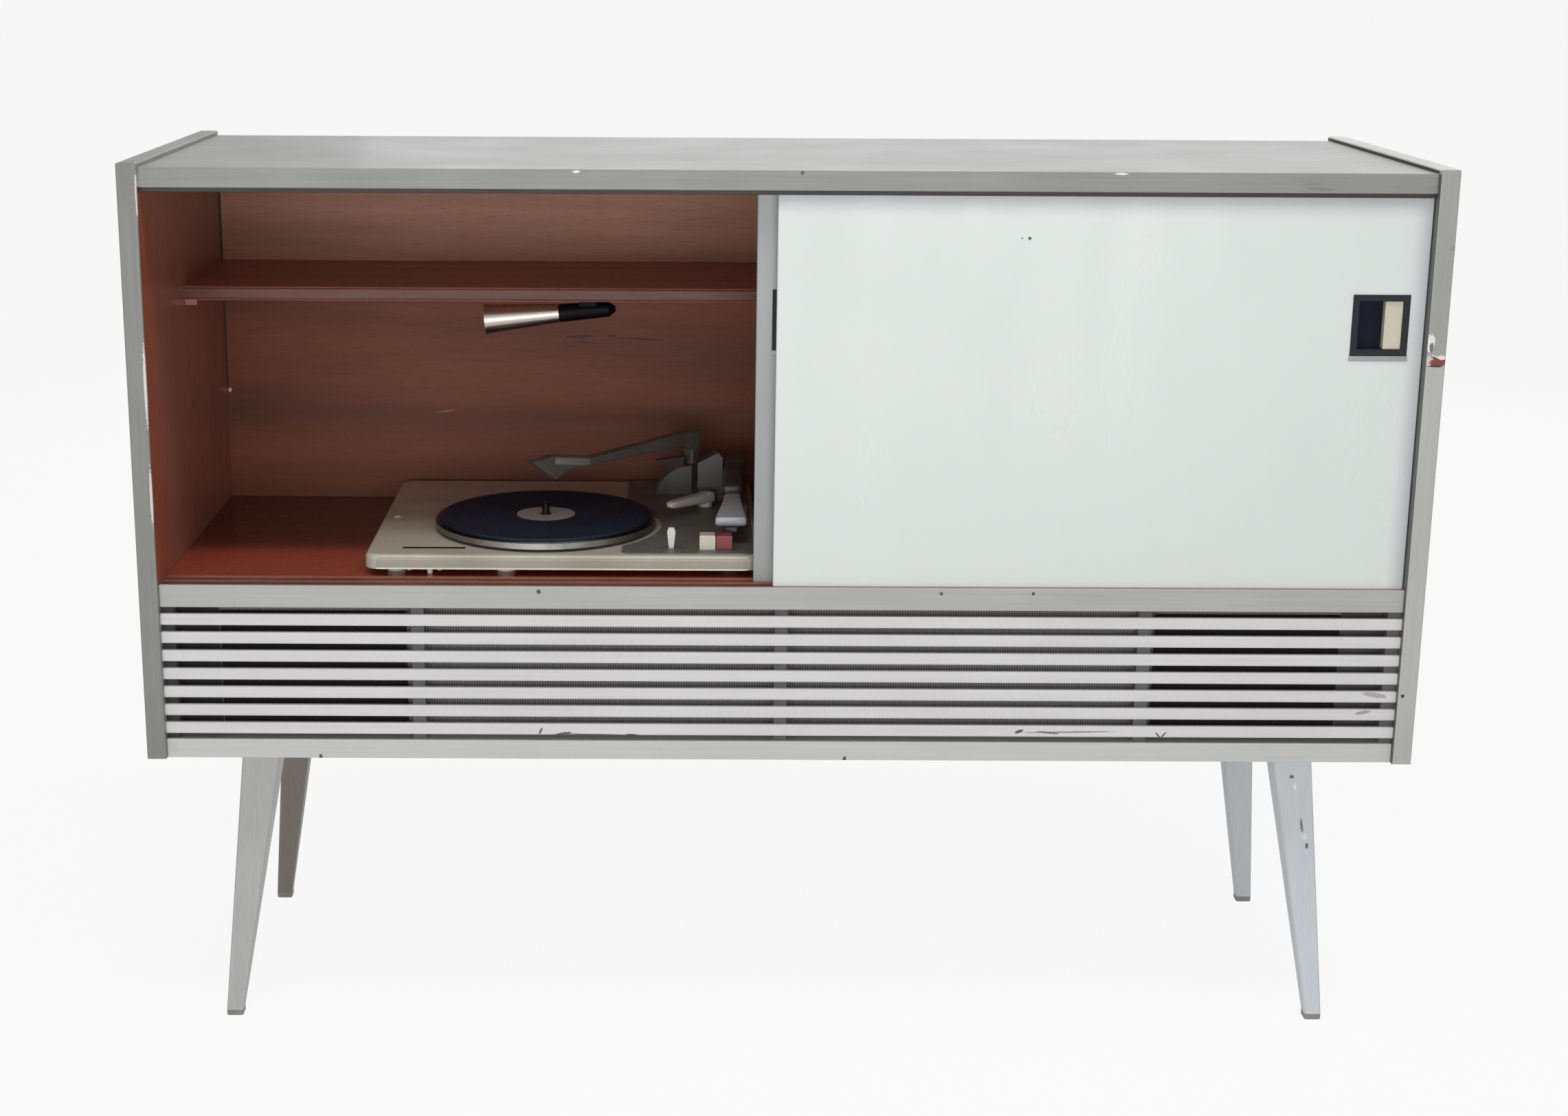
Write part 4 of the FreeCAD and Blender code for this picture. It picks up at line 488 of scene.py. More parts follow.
@dataclass(frozen=True)
class Finish:
    """A material: a coat, patches of other coats, and what is the same all over."""

    name: str
    coat: Coat
    patches: tuple[Patch, ...] = ()
    metallic: float = 0.0
    varnish: float = 0.0
    transmission: float = 0.0
    sheen: float = 0.0
    ior: float = 1.5
    bump: float = 0.06

    def material(self) -> bpy.types.Material:
        """Make the material on its first use, and give the same one after that."""
        found = bpy.data.materials.get(self.name)
        if found:
            return found
        made = bpy.data.materials.new(self.name)
        tree = blank_tree(made)
        coords = add(tree, "TexCoord", out="Object")
        layer = self.coat.lay(tree, coords)
        for patch in self.patches:
            mask = patch.mask(tree, coords)
            inner = patch.coat.lay(tree, coords)
            layer = Layer(
                add(tree, "Mix", {SHARE: mask, UNDER: layer.colour, OVER: inner.colour}, **COLOURS),
                add(tree, "Mix", {SHARE: mask, VALUE_UNDER: layer.roughness, VALUE_OVER: inner.roughness}),
                add(tree, "Mix", {SHARE: mask, VALUE_UNDER: layer.height, VALUE_OVER: inner.height}))
        normal = add(tree, "Bump", {"Height": layer.height, "Distance": self.bump * MM, "Strength": 1.0})
        values = {"Base Color": layer.colour, "Roughness": layer.roughness, "Normal": normal,
                  "Metallic": self.metallic, "Coat Weight": self.varnish, "Coat Roughness": VARNISH_ROUGHNESS,
                  "Transmission Weight": self.transmission, "Sheen Weight": self.sheen}
        if not self.metallic:
            values["IOR"] = self.ior
        shader = add(tree, "BsdfPrincipled", values)
        add(tree, "OutputMaterial", {"Surface": shader}, None)
        return made


# Faces that marks lie on: the rails and slats, the side panels' fronts, the white door and the back's inside
RAIL_FACE, PANEL_FACE, DOOR_FACE, BACK_FACE = -186.5, -192.5, -181.0, 183.5

# Marks of use on the painted case: dents, filled holes, chips at the right panel, rubbed left arris
CASE_MARKS = on_face(
    RAIL_FACE,
    (-227.4, 445, (2.2, 2, 2.4), "#3a3026"), (148.8, 444.8, (1.8, 2, 2), "#4a443c"),
    (234.9, 445.2, (1.6, 2, 1.8), "#2e2a26"), (-436.4, 281, (2, 3, 3.5), "#3b3834"),
    (61.8, 281, (1.8, 3, 3.5), "#2f2c2a"), (-189.6, 834, (3.6, 3, 1.3), "#f2f2ef"),
    (12.4, 834, (2, 3, 2), "#3f3c38"), (297.4, 834.6, (6, 3, 1), "#efefec"),
    (477, 822, (15, 3, 1.2), "#77756e", 4), (470, 826, (10, 3, 0.9), "#7d7b74", -3),
) + on_face(
    PANEL_FACE,
    (586.3, 348.4, (2, 2, 2), "#1d1b1a"), (584.5, 684, (4.5, 4, 9), "#ebe9e4"),
    (586, 680, (2, 3, 5), "#6d6a64"), (588, 668, (7, 4, 6), "#cfc8bb"), (593, 666.4, (8, 4, 4.6), "#7a2a20"),
    (591, 663, (8, 4, 0.9), "#2c1512"), (590, 670.5, (5, 4, 0.8), "#3a2a24", 20),
    (596, 671, (4.5, 4, 2.2), "#e4e0da"), (598, 770, (2.5, 3, 3), "#8d8c87", 30),
    (-577.3, 836, (4, 3, 4), "#efeeea"), (-583, 640, (1.6, 3, 40), "#dcdbd7"),
    (-583, 535, (1.4, 3, 30), "#d8d7d3"),
) + on_face(-190.0, (-582.4, 812, (0.9, 5, 26), "#eae8e2"))
SLAT_MARKS = on_face(
    RAIL_FACE,
    (-227, 308, (1.2, 3, 4.2), "#54514d", 24), (-176, 304.6, (40, 3, 0.9), "#6d6a67", 1),
    (-205, 305.6, (9, 3, 1.3), "#4f4c49", -8), (-140, 304.2, (7, 3, 1.5), "#5a5754", 6),
    (227, 309.6, (4.5, 3, 1.7), "#4a4744", -20), (275, 309.2, (45, 3, 0.8), "#85827f", -1),
    (254, 308.6, (12, 3, 1.1), "#6b6865", 5), (359, 306.4, (0.8, 3, 4.6), "#46433f", -38),
    (364, 306.4, (0.8, 3, 4.6), "#46433f", 38), (562, 347.5, (13, 3, 2.6), "#a9a7a6", 8),
    (552, 330, (8, 3, 2), "#9c9a99", -12))
DOOR_MARKS = on_face(
    DOOR_FACE,
    (218.8, 775.9, (1.7, 2, 1.7), "#2a2624"), (212, 776, (0.9, 2, 0.9), "#6a6661"))
# The front right leg leans, so each of its marks lies at its own depth
LEG_MARKS = (
    Mark((501.5, -139, 249), (3.2, 4, 2.6), "#5d5f62"), Mark((505, -140, 238.6), (1.6, 4, 3.4), "#e9edf0"),
    Mark((513.7, -143, 199.4), (1.5, 4, 8), "#6b6e71", -8),
    Mark((517.2, -144, 188.7), (2.4, 4, 4), "#dfe4e8"), Mark((519.8, -145, 179.4), (1.6, 4, 3.2), "#5a5c5f"))
BACK_MARKS = on_face(
    BACK_FACE,
    (-204.4, 625.6, (16, 3, 1.6), "#36180f", -3), (-170.7, 626.9, (6, 3, 2), "#3c1d13"),
    (-137.8, 623.7, (26, 3, 1.2), "#391b12", 2), (-347.5, 544.5, (11, 3, 0.7), "#9a6a52", -7),
    (-200, 620.5, (7, 3, 1), "#3c1d13"), (-579, 566.5, (2, 3, 2.6), "#d6cabf"))
# Painted shade on the white door: grey fading in below the top track and along the closing edge
DOOR_PAINTED_SHADE = (Fade("#a9abb2", Axis.Z, 792.0, 818.0, 0.85), Fade("#b9bbc2", Axis.X, 562.0, 582.0, 0.75))

# One grey paint in copies: lighter on the top's face than on its front edge, and lighter from the top rail
# down to the bottom rail
TOP_PAINT = BrushedPaint("#999a98", "#8c8d89", Axis.X, marks=CASE_MARKS, roughness=0.5, wear=0.1)
EDGE_PAINT = BrushedPaint("#8b8c87", "#767772", Axis.X, marks=CASE_MARKS)
RAIL_PAINT = BrushedPaint("#b1b1ae", "#9a9a96", Axis.X, marks=CASE_MARKS)
BASE_PAINT = BrushedPaint("#c7c7c5", "#b4b4b1", Axis.X, marks=CASE_MARKS)
SLAT_PAINT = BrushedPaint("#d8d6d7", "#c0bdbe", Axis.X, marks=SLAT_MARKS, stroke=(260.0, 5.0))
# The side panels' one paint in two copies: darker on the left panel as painted shade, paler on the right
# panel as painted light
LEFT_SHADED_PAINT = BrushedPaint("#868783", "#6c6d69", Axis.Z, marks=CASE_MARKS, wear=0.9)
RIGHT_LIT_PAINT = BrushedPaint("#b5b5b1", "#a09f9a", Axis.Z, marks=CASE_MARKS)
# A darker copy of the right panel's paint for its front above 664 mm
RIGHT_UPPER = BrushedPaint("#a0a19d", "#8b8c88", Axis.Z, marks=CASE_MARKS)
# Painted shade: dark grey on the right panel's inner face in front of the bay
DOOR_REVEAL_PAINTED_SHADE = BrushedPaint("#5c5b57", "#4b4a46", Axis.Z)
DOOR_PAINT = BrushedPaint("#dce2df", "#d6dcd9", Axis.Z, marks=DOOR_MARKS, roughness=0.3, wear=0.2,
                          stroke=(420.0, 60.0), blotch=220.0, fades=DOOR_PAINTED_SHADE)
# The legs' paint in copies: darker on the rear left leg as painted shade, paler on the right legs as painted
# light
LEG_PAINT = BrushedPaint("#b3b4b3", "#9c9d9b", Axis.Z, wear=0.8, rubbed="#e6e8ea", marks=LEG_MARKS)
LEG_SHADED = BrushedPaint("#7f796f", "#6c665d", Axis.Z, wear=0.4)
LEG_LIT_PAINT = BrushedPaint("#cdd2d7", "#bcc1c5", Axis.Z, wear=0.8, rubbed="#eceef0", marks=LEG_MARKS)
# Mahogany under old varnish: red-brown with a dark figure. Paler on the back above the shelf, and redder at
# the front of the wall and of the floor: painted light that falls in through the opening
MAHOGANY_BACK = Veneer("#864728", "#542717", "#4a2617", Axis.X, 0.6, figure=(800.0, 70.0), fibre_share=0.45,
                       marks=BACK_MARKS)
# Back above the shelf: a paler copy of the back's veneer, as painted light
MAHOGANY_PAINTED_LIGHT = Veneer("#b37b5f", "#8c5840", "#63402e", Axis.X, 0.5, figure=(640.0, 44.0), fibre_share=0.5)
# Wall: redder towards the front as painted light
MAHOGANY_WALL_PAINTED_LIGHT = Veneer("#a3695a", "#965e4f", "#8a5646", Axis.Z, 0.3, figure=(520.0, 60.0), fibre_share=0.4,
                       fades=(Fade("#b05c3a", Axis.Y, -105.0, -165.0, 0.5),))
# Floor: redder towards the front as painted light
MAHOGANY_FLOOR_PAINTED_LIGHT = Veneer("#6b302c", "#451b1c", "#2b1112", Axis.X, 0.2,
                        fades=(Fade("#b5553c", Axis.Y, -16.0, -68.0),))
SHELF_EDGE = Veneer("#693622", "#4f2717", "#311c12", Axis.X, 0.5)
RAW_BOARD = Veneer("#7c5b41", "#694a34", "#4d3626", Axis.X, 0.6, pores=(4.0, 1.2))
SHADOW_GAP = Moulding("#1c1a18", "#262320", 0.7)
# Painted shade: darker greys for the battens behind the slats and for the ends of the board
BATTEN_PAINTED_SHADE = Moulding("#646465", "#5a5a5b", 0.75)
END_PAINTED_SHADE = Moulding("#343436", "#2c2c2e", 0.8)
# Deck: painted shade on its front face and in the record slot, and a painted highlight along the front's
# lower edge
DECK_FRONT_PAINTED_SHADE = Moulding("#a8a494", "#9a9686", 0.34, 60.0, 2.2, "#8f8b7b")
DECK_PAINTED_HIGHLIGHT = Moulding("#f3f0e6", "#e6e2d6", 0.3)
SLOT_PAINTED_SHADE = Moulding("#12100e", "#1a1815", 0.8)
BROWN_PLASTIC = Moulding("#371a0f", "#2a130a", 0.5)
RIM_PLASTIC = Moulding("#23262a", "#2d3034", 0.5)
# Painted shadow of the mat's edge: a dark band round the platter's rim
RIM_PAINTED_SHADOW = Metal("#3b3d42", "#26272b", 0.2)
ALUMINIUM = Metal("#c9c8c4", "#a5a39d", 0.48, (-229.0, -33.0))
BLACK_IRON = Moulding("#232324", "#2f2f30", 0.4)
VALVE_GLASS = Moulding("#33363a", "#4a4e52", 0.1, 8.0)
# Depth and height of the veneered inside of the bays
IN_BAY = {"y": (-150.5, None), "z": (None, 819.0)}


class Finishes:
    """Every material of the console, each named for what it is made of."""

    # Brushed alkyd paint over plywood: satin, with strokes that catch the light
    side_left = Finish("satin_alkyd_paint_grey_left", LEFT_SHADED_PAINT,
                       (Patch(MAHOGANY_WALL_PAINTED_LIGHT, x=(-582.6, None), **IN_BAY),
                        Patch(MAHOGANY_WALL_PAINTED_LIGHT, x=(-582.4, None), y=(-190.0, None), z=(450.0, 819.0)),
                        Patch(TOP_PAINT, y=(-190.0, None), z=(835.8, None))), bump=0.02)
    side_right = Finish("satin_alkyd_paint_grey_right", RIGHT_LIT_PAINT,
                        (Patch(RIGHT_UPPER, x=(None, 599.0), y=(None, -189.0), z=(664.0, None)),
                         Patch(MAHOGANY_WALL_PAINTED_LIGHT, x=(None, 582.6), **IN_BAY),
                         Patch(DOOR_REVEAL_PAINTED_SHADE, x=(None, 582.4), y=(None, -150.5), z=(None, 836.0)),
                         Patch(SHADOW_GAP, x=(None, 582.4), y=(-186.0, None), z=(830.0, 838.6))),
                        varnish=0.1, bump=0.02)
    top = Finish("satin_alkyd_paint_grey_top", EDGE_PAINT,
                 (Patch(TOP_PAINT, z=(835.6, None)),
                  Patch(MAHOGANY_FLOOR_PAINTED_LIGHT, y=(-152.0, None), z=(None, 818.4))), varnish=0.1)
    rail = Finish("satin_alkyd_paint_grey_rail", RAIL_PAINT,
                  (Patch(MAHOGANY_FLOOR_PAINTED_LIGHT, y=(-183.5, None)),), varnish=0.15)
    base = Finish("satin_alkyd_paint_grey_base", BASE_PAINT)
    slat = Finish("satin_alkyd_paint_pale_slat", SLAT_PAINT)
    # Leg paint, with painted shade on the rear left leg and painted light on the right legs
    leg = Finish("satin_alkyd_paint_leg", LEG_PAINT,
                 (Patch(LEG_SHADED, x=(None, 0.0), y=(0.0, None)), Patch(LEG_LIT_PAINT, x=(0.0, None))))
    door_white = Finish("satin_alkyd_paint_white_door", DOOR_PAINT, bump=0.004)
    door_grey = Finish("satin_alkyd_paint_grey_door",
                       BrushedPaint("#9ea1a1", "#8e9191", Axis.Z, roughness=0.34, stroke=(300.0, 9.0)))
    # Mahogany veneer and ramin strips under varnish: a sheen over fine dark pores
    # Shelf: a much paler copy of the veneer on its top than on its front edge, as painted light on the shaded
    # top
    shelf = Finish("mahogany_veneer_shelf", Veneer("#d68f7e", "#b27262", "#7b4b3d", Axis.X, 0.45),
                   (Patch(SHELF_EDGE, y=(None, -19.2)),), varnish=0.05)
    wall = Finish("mahogany_veneer_wall", MAHOGANY_WALL_PAINTED_LIGHT, varnish=0.25, bump=0.02)
    fascia = Finish("mahogany_veneer_fascia", Veneer("#7d4a34", "#552e20", "#2f1810", Axis.X, 0.18),
                    varnish=0.5)
    track_low = Finish("ramin_strip_stained", Veneer("#a8705f", "#875445", "#57372b", Axis.X, 0.4))
    # Upper track: near black, as painted shade under the top rail
    track_high = Finish("ramin_strip_dark_painted_shade", Veneer("#2b211d", "#1c1512", "#0f0b09", Axis.X, 0.5))
    # Plywood back: stained and dull inside, with painted light above the shelf and painted shadow down its
    # left corner; raw and paler outside and on its top edge
    back = Finish("plywood_back_stained", MAHOGANY_BACK,
                  (Patch(MAHOGANY_PAINTED_LIGHT, z=(706.0, None)),
                   Patch(SHADOW_GAP, x=(None, -580.4), z=(570.0, None)),
                   Patch(RAW_BOARD, y=(187.5, None)), Patch(RAW_BOARD, z=(820.0, None))))
    # Woven viscose and paper cord: matt; threads of 0.7 mm are drawn at 2 mm or more, so that they show
    cloth = Finish("woven_viscose_black", Woven("#201f21", "#161617", 2.0), sheen=0.2, bump=0.2)
    # Paper cord on the board, with painted shade on the battens and at both ends
    baffle = Finish("woven_paper_cord_grey", Woven("#a6a7a6", "#8c8d8c", 2.4),
                    (Patch(BATTEN_PAINTED_SHADE, y=(None, -167.0)), Patch(END_PAINTED_SHADE, x=(None, -531.0)),
                     Patch(BATTEN_PAINTED_SHADE, x=(531.0, None))), sheen=0.1, bump=0.2)
    # Pressed paper: dull, with pale fibres in it
    cone = Finish("pressed_paper_cone", Moulding("#24211f", "#191716", 0.8, peel=0.8, speck="#4a4540"))
    # Moulded plastics: gloss of the tool with faint clouds from handling
    black = Finish("phenolic_black_moulded", Moulding("#060609", "#0b0b10", 0.5), ior=1.2)
    pocket = Finish("phenolic_navy_moulded", Moulding("#080e1b", "#0c1423", 0.6),
                    (Patch(RIM_PLASTIC, x=(400.0, None), y=(None, -178.0)),
                     Patch(RIM_PLASTIC, x=(None, 400.0), y=(None, -163.0))), ior=1.25)
    cream = Finish("urea_cream_moulded", Moulding("#cfcab6", "#c2bca6", 0.3), bump=0.03)
    red = Finish("urea_red_moulded", Moulding("#861f26", "#701a20", 0.3), bump=0.03)
    white = Finish("urea_white_moulded", Moulding("#dedcd3", "#d2cfc4", 0.3), bump=0.03)
    arm_dark = Finish("abs_charcoal_moulded", Moulding("#43423f", "#393835", 0.4), bump=0.04)
    arm_pale = Finish("abs_pale_grey_moulded", Moulding("#bbc1c8", "#a9afb5", 0.3), bump=0.03)
    overarm = Finish("abs_olive_grey_moulded", Moulding("#5f5d57", "#53514b", 0.34), bump=0.04)
    post = Finish("abs_olive_grey_post", Moulding("#63625b", "#55534d", 0.34),
                  (Patch(BROWN_PLASTIC, x=(None, -91.9), y=(105.6, 112.2), z=(493.8, None)),),
                  ior=1.35, bump=0.04)
    inlay = Finish("polystyrene_pale_strip", Moulding("#87817b", "#7a746e", 0.35), bump=0.02)
    cartridge = Finish("abs_black_moulded", Moulding("#202022", "#2a2a2c", 0.35))
    knob = Finish("urea_ivory_moulded", Moulding("#c9bd9b", "#b9ac89", 0.25), varnish=0.2)
    glide = Finish("nylon_grey_glide", Moulding("#8f8f8c", "#7d7d7a", 0.45))
    # Printed card: flat ink on paper that has yellowed in clouds
    ink = Finish("dial_ink_brown", Moulding("#3c2b1e", "#4a3626", 0.6))
    card = Finish("dial_card_ivory", Moulding("#d8cfb4", "#c9bf9f", 0.55, 45.0))
    # Stove enamel on pressed steel: a fine orange peel under dust, with painted shade on the front face and
    # in the slot and a painted highlight along the front's lower edge
    deck = Finish("stove_enamel_cream", Moulding("#c8c4b3", "#b8b3a1", 0.34, 60.0, 2.2, "#a8a290"),
                  (Patch(SLOT_PAINTED_SHADE, x=(-361.4, -300.6), y=(-127.4, -119.6), z=(None, 470.9)),
                   Patch(DECK_FRONT_PAINTED_SHADE, y=(None, -151.4)), Patch(DECK_PAINTED_HIGHLIGHT, y=(None, -151.4), z=(None, 458.5))),
                  bump=0.05)
    panel = Finish("stove_enamel_charcoal", Moulding("#6e6f69", "#5f605a", 0.4, 50.0, 2.2, "#7c7c75"),
                   bump=0.05)
    frame_black = Finish("stove_enamel_black", Moulding("#202021", "#2b2b2c", 0.45))
    motor = Finish("stove_enamel_motor_grey", Moulding("#4d4e50", "#3f4042", 0.5))
    pointer = Finish("lacquer_red_pointer", Moulding("#a3241c", "#8c1d17", 0.3))
    # Rubber: matt, with dust in its hollows
    mat = Finish("ribbed_rubber_navy", Moulding("#0b1724", "#0f1d2e", 0.6, 26.0, 1.0, "#172739"), ior=1.35)
    rubber = Finish("rubber_black", Moulding("#1b1b1b", "#262626", 0.7))
    mount = Finish("rubber_white", Moulding("#f0eee6", "#dddbd2", 0.6))
    # Metals: mirror or satin of the plating, dulled by smudges, with turning rings on the platter
    chrome = Finish("chrome_plate", Metal("#bdb5a9", "#aea497", 0.26, handled=0.05), metallic=1.0, bump=0.0)
    steel = Finish("zinc_plated_steel", Metal("#a8a9a8", "#7e7d78", 0.3), metallic=1.0, bump=0.02)
    spindle = Finish("blued_steel", Metal("#2b2c31", "#1b1b1e", 0.25), metallic=1.0, bump=0.01)
    # Platter: painted shadow of the mat's edge in a dark band round the rim
    platter = Finish("turned_aluminium", Metal("#908e87", "#76746e", 0.34),
                     (Patch(RIM_PAINTED_SHADOW, z=(479.6, None)), Patch(ALUMINIUM, z=(481.2, None))),
                     metallic=1.0, bump=0.02)
    brass = Finish("turned_brass", Metal("#b8924a", "#8a6a32", 0.25), metallic=1.0, bump=0.02)
    # Glass: clear and smooth
    glass = Finish("soda_glass", Moulding("#eef2ee", "#e6ece8", 0.0, 25.0),
                   transmission=1.0, ior=1.52, bump=0.0)
    # Dull passivated chassis, with black iron and the dark shine of valves standing on it
    chassis = Finish("passivated_steel_chassis", Metal("#a39c84", "#7b745e", 0.35),
                     (Patch(BLACK_IRON, x=(410.0, None), z=(502.2, None)),
                      Patch(VALVE_GLASS, x=(None, 400.0), y=(55.0, None), z=(511.2, None))), bump=0.03)


@dataclass(frozen=True)
class Surface:
    """Grid of points in millimetres, with whether each of its rows loops back to its start."""

    points: np.ndarray
    loops: bool = True

    def faces(self) -> np.ndarray:
        """Quads of the grid, numbered as its points are when they are flattened."""
        rows, columns = self.points.shape[:2]
        quads = columns if self.loops else columns - 1
        r, c = np.meshgrid(np.arange(rows - 1), np.arange(quads), indexing="ij")
        here, right = r * columns + c, r * columns + (c + 1) % columns
        return np.stack([here, right, right + columns, here + columns], -1).reshape(-1, 4)

    def moved(self, turn: np.ndarray, origin: Point) -> "Surface":
        """Turn the surface's own axes to the given columns, then set it at an origin.

        Args:
            turn: where its x, y and z point, as columns.
            origin: its place in millimetres.
        Returns:
            The surface in its place.
        """
        return Surface(self.points @ turn.T + np.asarray(origin, float), self.loops)


def lathe(profile: list[Pair], steps: int = 64) -> Surface:
    """Turn a profile about the z axis: x = r cos t, y = r sin t, z = height.

    Args:
        profile: radius and height of each point, from end to end.
        steps: points round the axis.
    Returns:
        The turned surface.
    """
    radius, height = np.array(profile, float).T
    angle = np.linspace(0, 2 * np.pi, steps, endpoint=False)
    x = radius[:, None] * np.cos(angle)
    y = radius[:, None] * np.sin(angle)
    return Surface(np.stack([x, y, np.broadcast_to(height[:, None], x.shape)], -1))


def outline(half_x: float, half_y: float, power: float, steps: int = 48) -> np.ndarray:
    """Superellipse |x/a|^n + |y/b|^n = 1, a rounded rectangle for a large n.

    Args:
        half_x: a.
        half_y: b.
        power: n.
        steps: points round it.
    Returns:
        Points (steps, 2).
    """
    angle = np.linspace(0, 2 * np.pi, steps, endpoint=False)
    x, y = (np.sign(v) * np.abs(v) ** (2 / power) for v in (np.cos(angle), np.sin(angle)))
    return np.stack([half_x * x, half_y * y], -1)


def plate(half_x: float, half_y: float, thickness: float, edge: float, power: float = 14.0) -> Surface:
    """Rounded plate: an outline carried up through rings that draw in at its edges and close in its middle.

    Args:
        half_x: half its width.
        half_y: half its height.
        thickness: its thickness along z, from 0.
        edge: radius of its edges.
        power: how square its corners are.
    Returns:
        The closed surface.
    """
    # Inset of the point half-way round an edge
    near = 0.3 * edge
    levels = ((edge, 0.0), (near, near), (0.0, edge), (0.0, thickness - edge), (near, thickness - near),
              (edge, thickness))
    rings = [np.insert(outline(half_x - inset, half_y - inset, power), 2, z, axis=1) for inset, z in levels]
    below, above = (ring * [0, 0, 1] for ring in (rings[0], rings[-1]))
    return Surface(np.array([below, *rings, above]))


def slotted_head(radius: float, height: float, slot: float, steps: int = 48) -> Surface:
    """Domed screw head: height falls as 1 - 0.75 (r/R)^2, and a straight slot cuts it to a third.

    Args:
        radius: R.
        height: height at the middle.
        slot: half the slot's width.
        steps: points round it.
    Returns:
        The head, open below.
    """
    share = np.append(np.linspace(0, 1, 11), 1.0)
    points = lathe(list(zip(share * radius, height * (1 - 0.75 * share ** 2))), steps).points.copy()
    low = np.abs(points[..., 1]) < slot
    points[..., 2] = np.where(low, np.minimum(points[..., 2], height / 3), points[..., 2])
    points[-1, :, 2] = 0.0
    return Surface(points)


def loft(centres: np.ndarray, halves: np.ndarray, power: float, steps: int = 40) -> Surface:
    """Superellipse sections in x and z carried along y, closed to a point at each end.

    Args:
        centres: middle of each section (n, 3).
        halves: half width and half height of each section (n, 2).
        power: how square the sections are.
        steps: points round each section.
    Returns:
        The closed surface.
    """
    unit = outline(1.0, 1.0, power, steps)
    ring = np.repeat(centres[:, None].astype(float), steps, 1)
    ring[..., [0, 2]] += halves[:, None] * unit
    ends = np.repeat(centres[[0, -1]][:, None], steps, 1)
    return Surface(np.concatenate([ends[:1], ring, ends[1:]]))


def slabs(boxes: np.ndarray) -> Mesh:
    """Closed blocks from their low and high corners, all at once.

    Args:
        boxes: (n, 2, 3) corners in millimetres.
    Returns:
        Points and quads.
    """
    corner = np.array([[i & 1, i >> 1 & 1, i >> 2 & 1] for i in range(8)])
    points = np.where(corner[None] == 0, boxes[:, None, 0], boxes[:, None, 1]).reshape(-1, 3)
    sides = np.array([[0, 2, 3, 1], [4, 5, 7, 6], [0, 1, 5, 4], [2, 6, 7, 3], [0, 4, 6, 2], [1, 3, 7, 5]])
    return points, (np.arange(len(boxes))[:, None, None] * len(corner) + sides).reshape(-1, 4)


def make_piece(name: str, shapes: list[Surface | Mesh], body: str, finish: Finish,
               stands_for: tuple[str, ...] = (), sharp: float = 38.0,
               closed: bool = True) -> bpy.types.Object:
    """Put surfaces into one mesh piece, dress it and let it ride on a body.

    Args:
        name: the piece's name.
        shapes: surfaces, or pairs of points and faces.
        body: body that it moves with.
        finish: its material.
        stands_for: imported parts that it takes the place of.
        sharp: angle in degrees past which an edge stays sharp.
        closed: whether doubles are merged and the faces turned outwards.
    Returns:
        The piece.
    """
    points, faces, count = [], [], 0
    for shape in shapes:
        grid, quads = (shape.points.reshape(-1, 3), shape.faces()) if isinstance(shape, Surface) else shape
        points.append(grid)
        faces.extend((np.asarray(quads) + count).tolist())
        count += len(grid)
    mesh = bpy.data.meshes.new(name)
    mesh.from_pydata((np.concatenate(points) * MM).tolist(), [], faces)
    if closed:
        work = bmesh.new()
        work.from_mesh(mesh)
        bmesh.ops.remove_doubles(work, verts=work.verts, dist=SAME_POINT)
        bmesh.ops.recalc_face_normals(work, faces=work.faces)
        work.to_mesh(mesh)
        work.free()
    mesh.validate()
    mesh.shade_smooth()
    mesh.set_sharp_from_angle(angle=np.radians(sharp))
    mesh.materials.append(finish.material())
    piece = put(name, mesh)
    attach(piece, body)
    if stands_for:
        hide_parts(*stands_for)
    log.info("%s: %d faces on %s", name, len(mesh.polygons), body)
    return piece


def dress(finish: Finish, *names: str, arris: float = 0.0) -> None:
    """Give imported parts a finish, and soften the arrises of those that are cut square.

    Args:
        finish: the material.
        names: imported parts.
        arris: width of the softened edge in millimetres, or none.
    """
    for name in names:
        part = frame["nodes"][name]
        for index in range(max(1, len(part.material_slots))):
            part.data.materials[index] = finish.material()
        if arris:
            part.modifiers.new("Join", "WELD").merge_threshold = SAME_CORNER
            bevel = part.modifiers.new("Arris", "BEVEL")
            bevel.width = arris * MM
            bevel.segments = 2
            bevel.limit_method = "ANGLE"
            bevel.angle_limit = np.radians(ARRIS_ANGLE)
            bevel.use_clamp_overlap = True
        log.info("%s: %s", name, finish.name)


def corners(name: str) -> tuple[np.ndarray, np.ndarray]:
    """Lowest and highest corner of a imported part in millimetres."""
    low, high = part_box(name)
    return np.array(low) / MM, np.array(high) / MM


def joint_place(name: str) -> np.ndarray:
    """Place of a joint in millimetres."""
    return np.array(next(j for j in frame["joints"] if j["name"] == name)["pos_m"]) / MM


class Assembly(ABC):
    """Sub-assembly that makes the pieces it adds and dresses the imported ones."""

    def build(self) -> None:
        """Make the added pieces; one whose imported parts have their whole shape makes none."""

    @abstractmethod
    def dress(self) -> None:
        """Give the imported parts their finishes."""


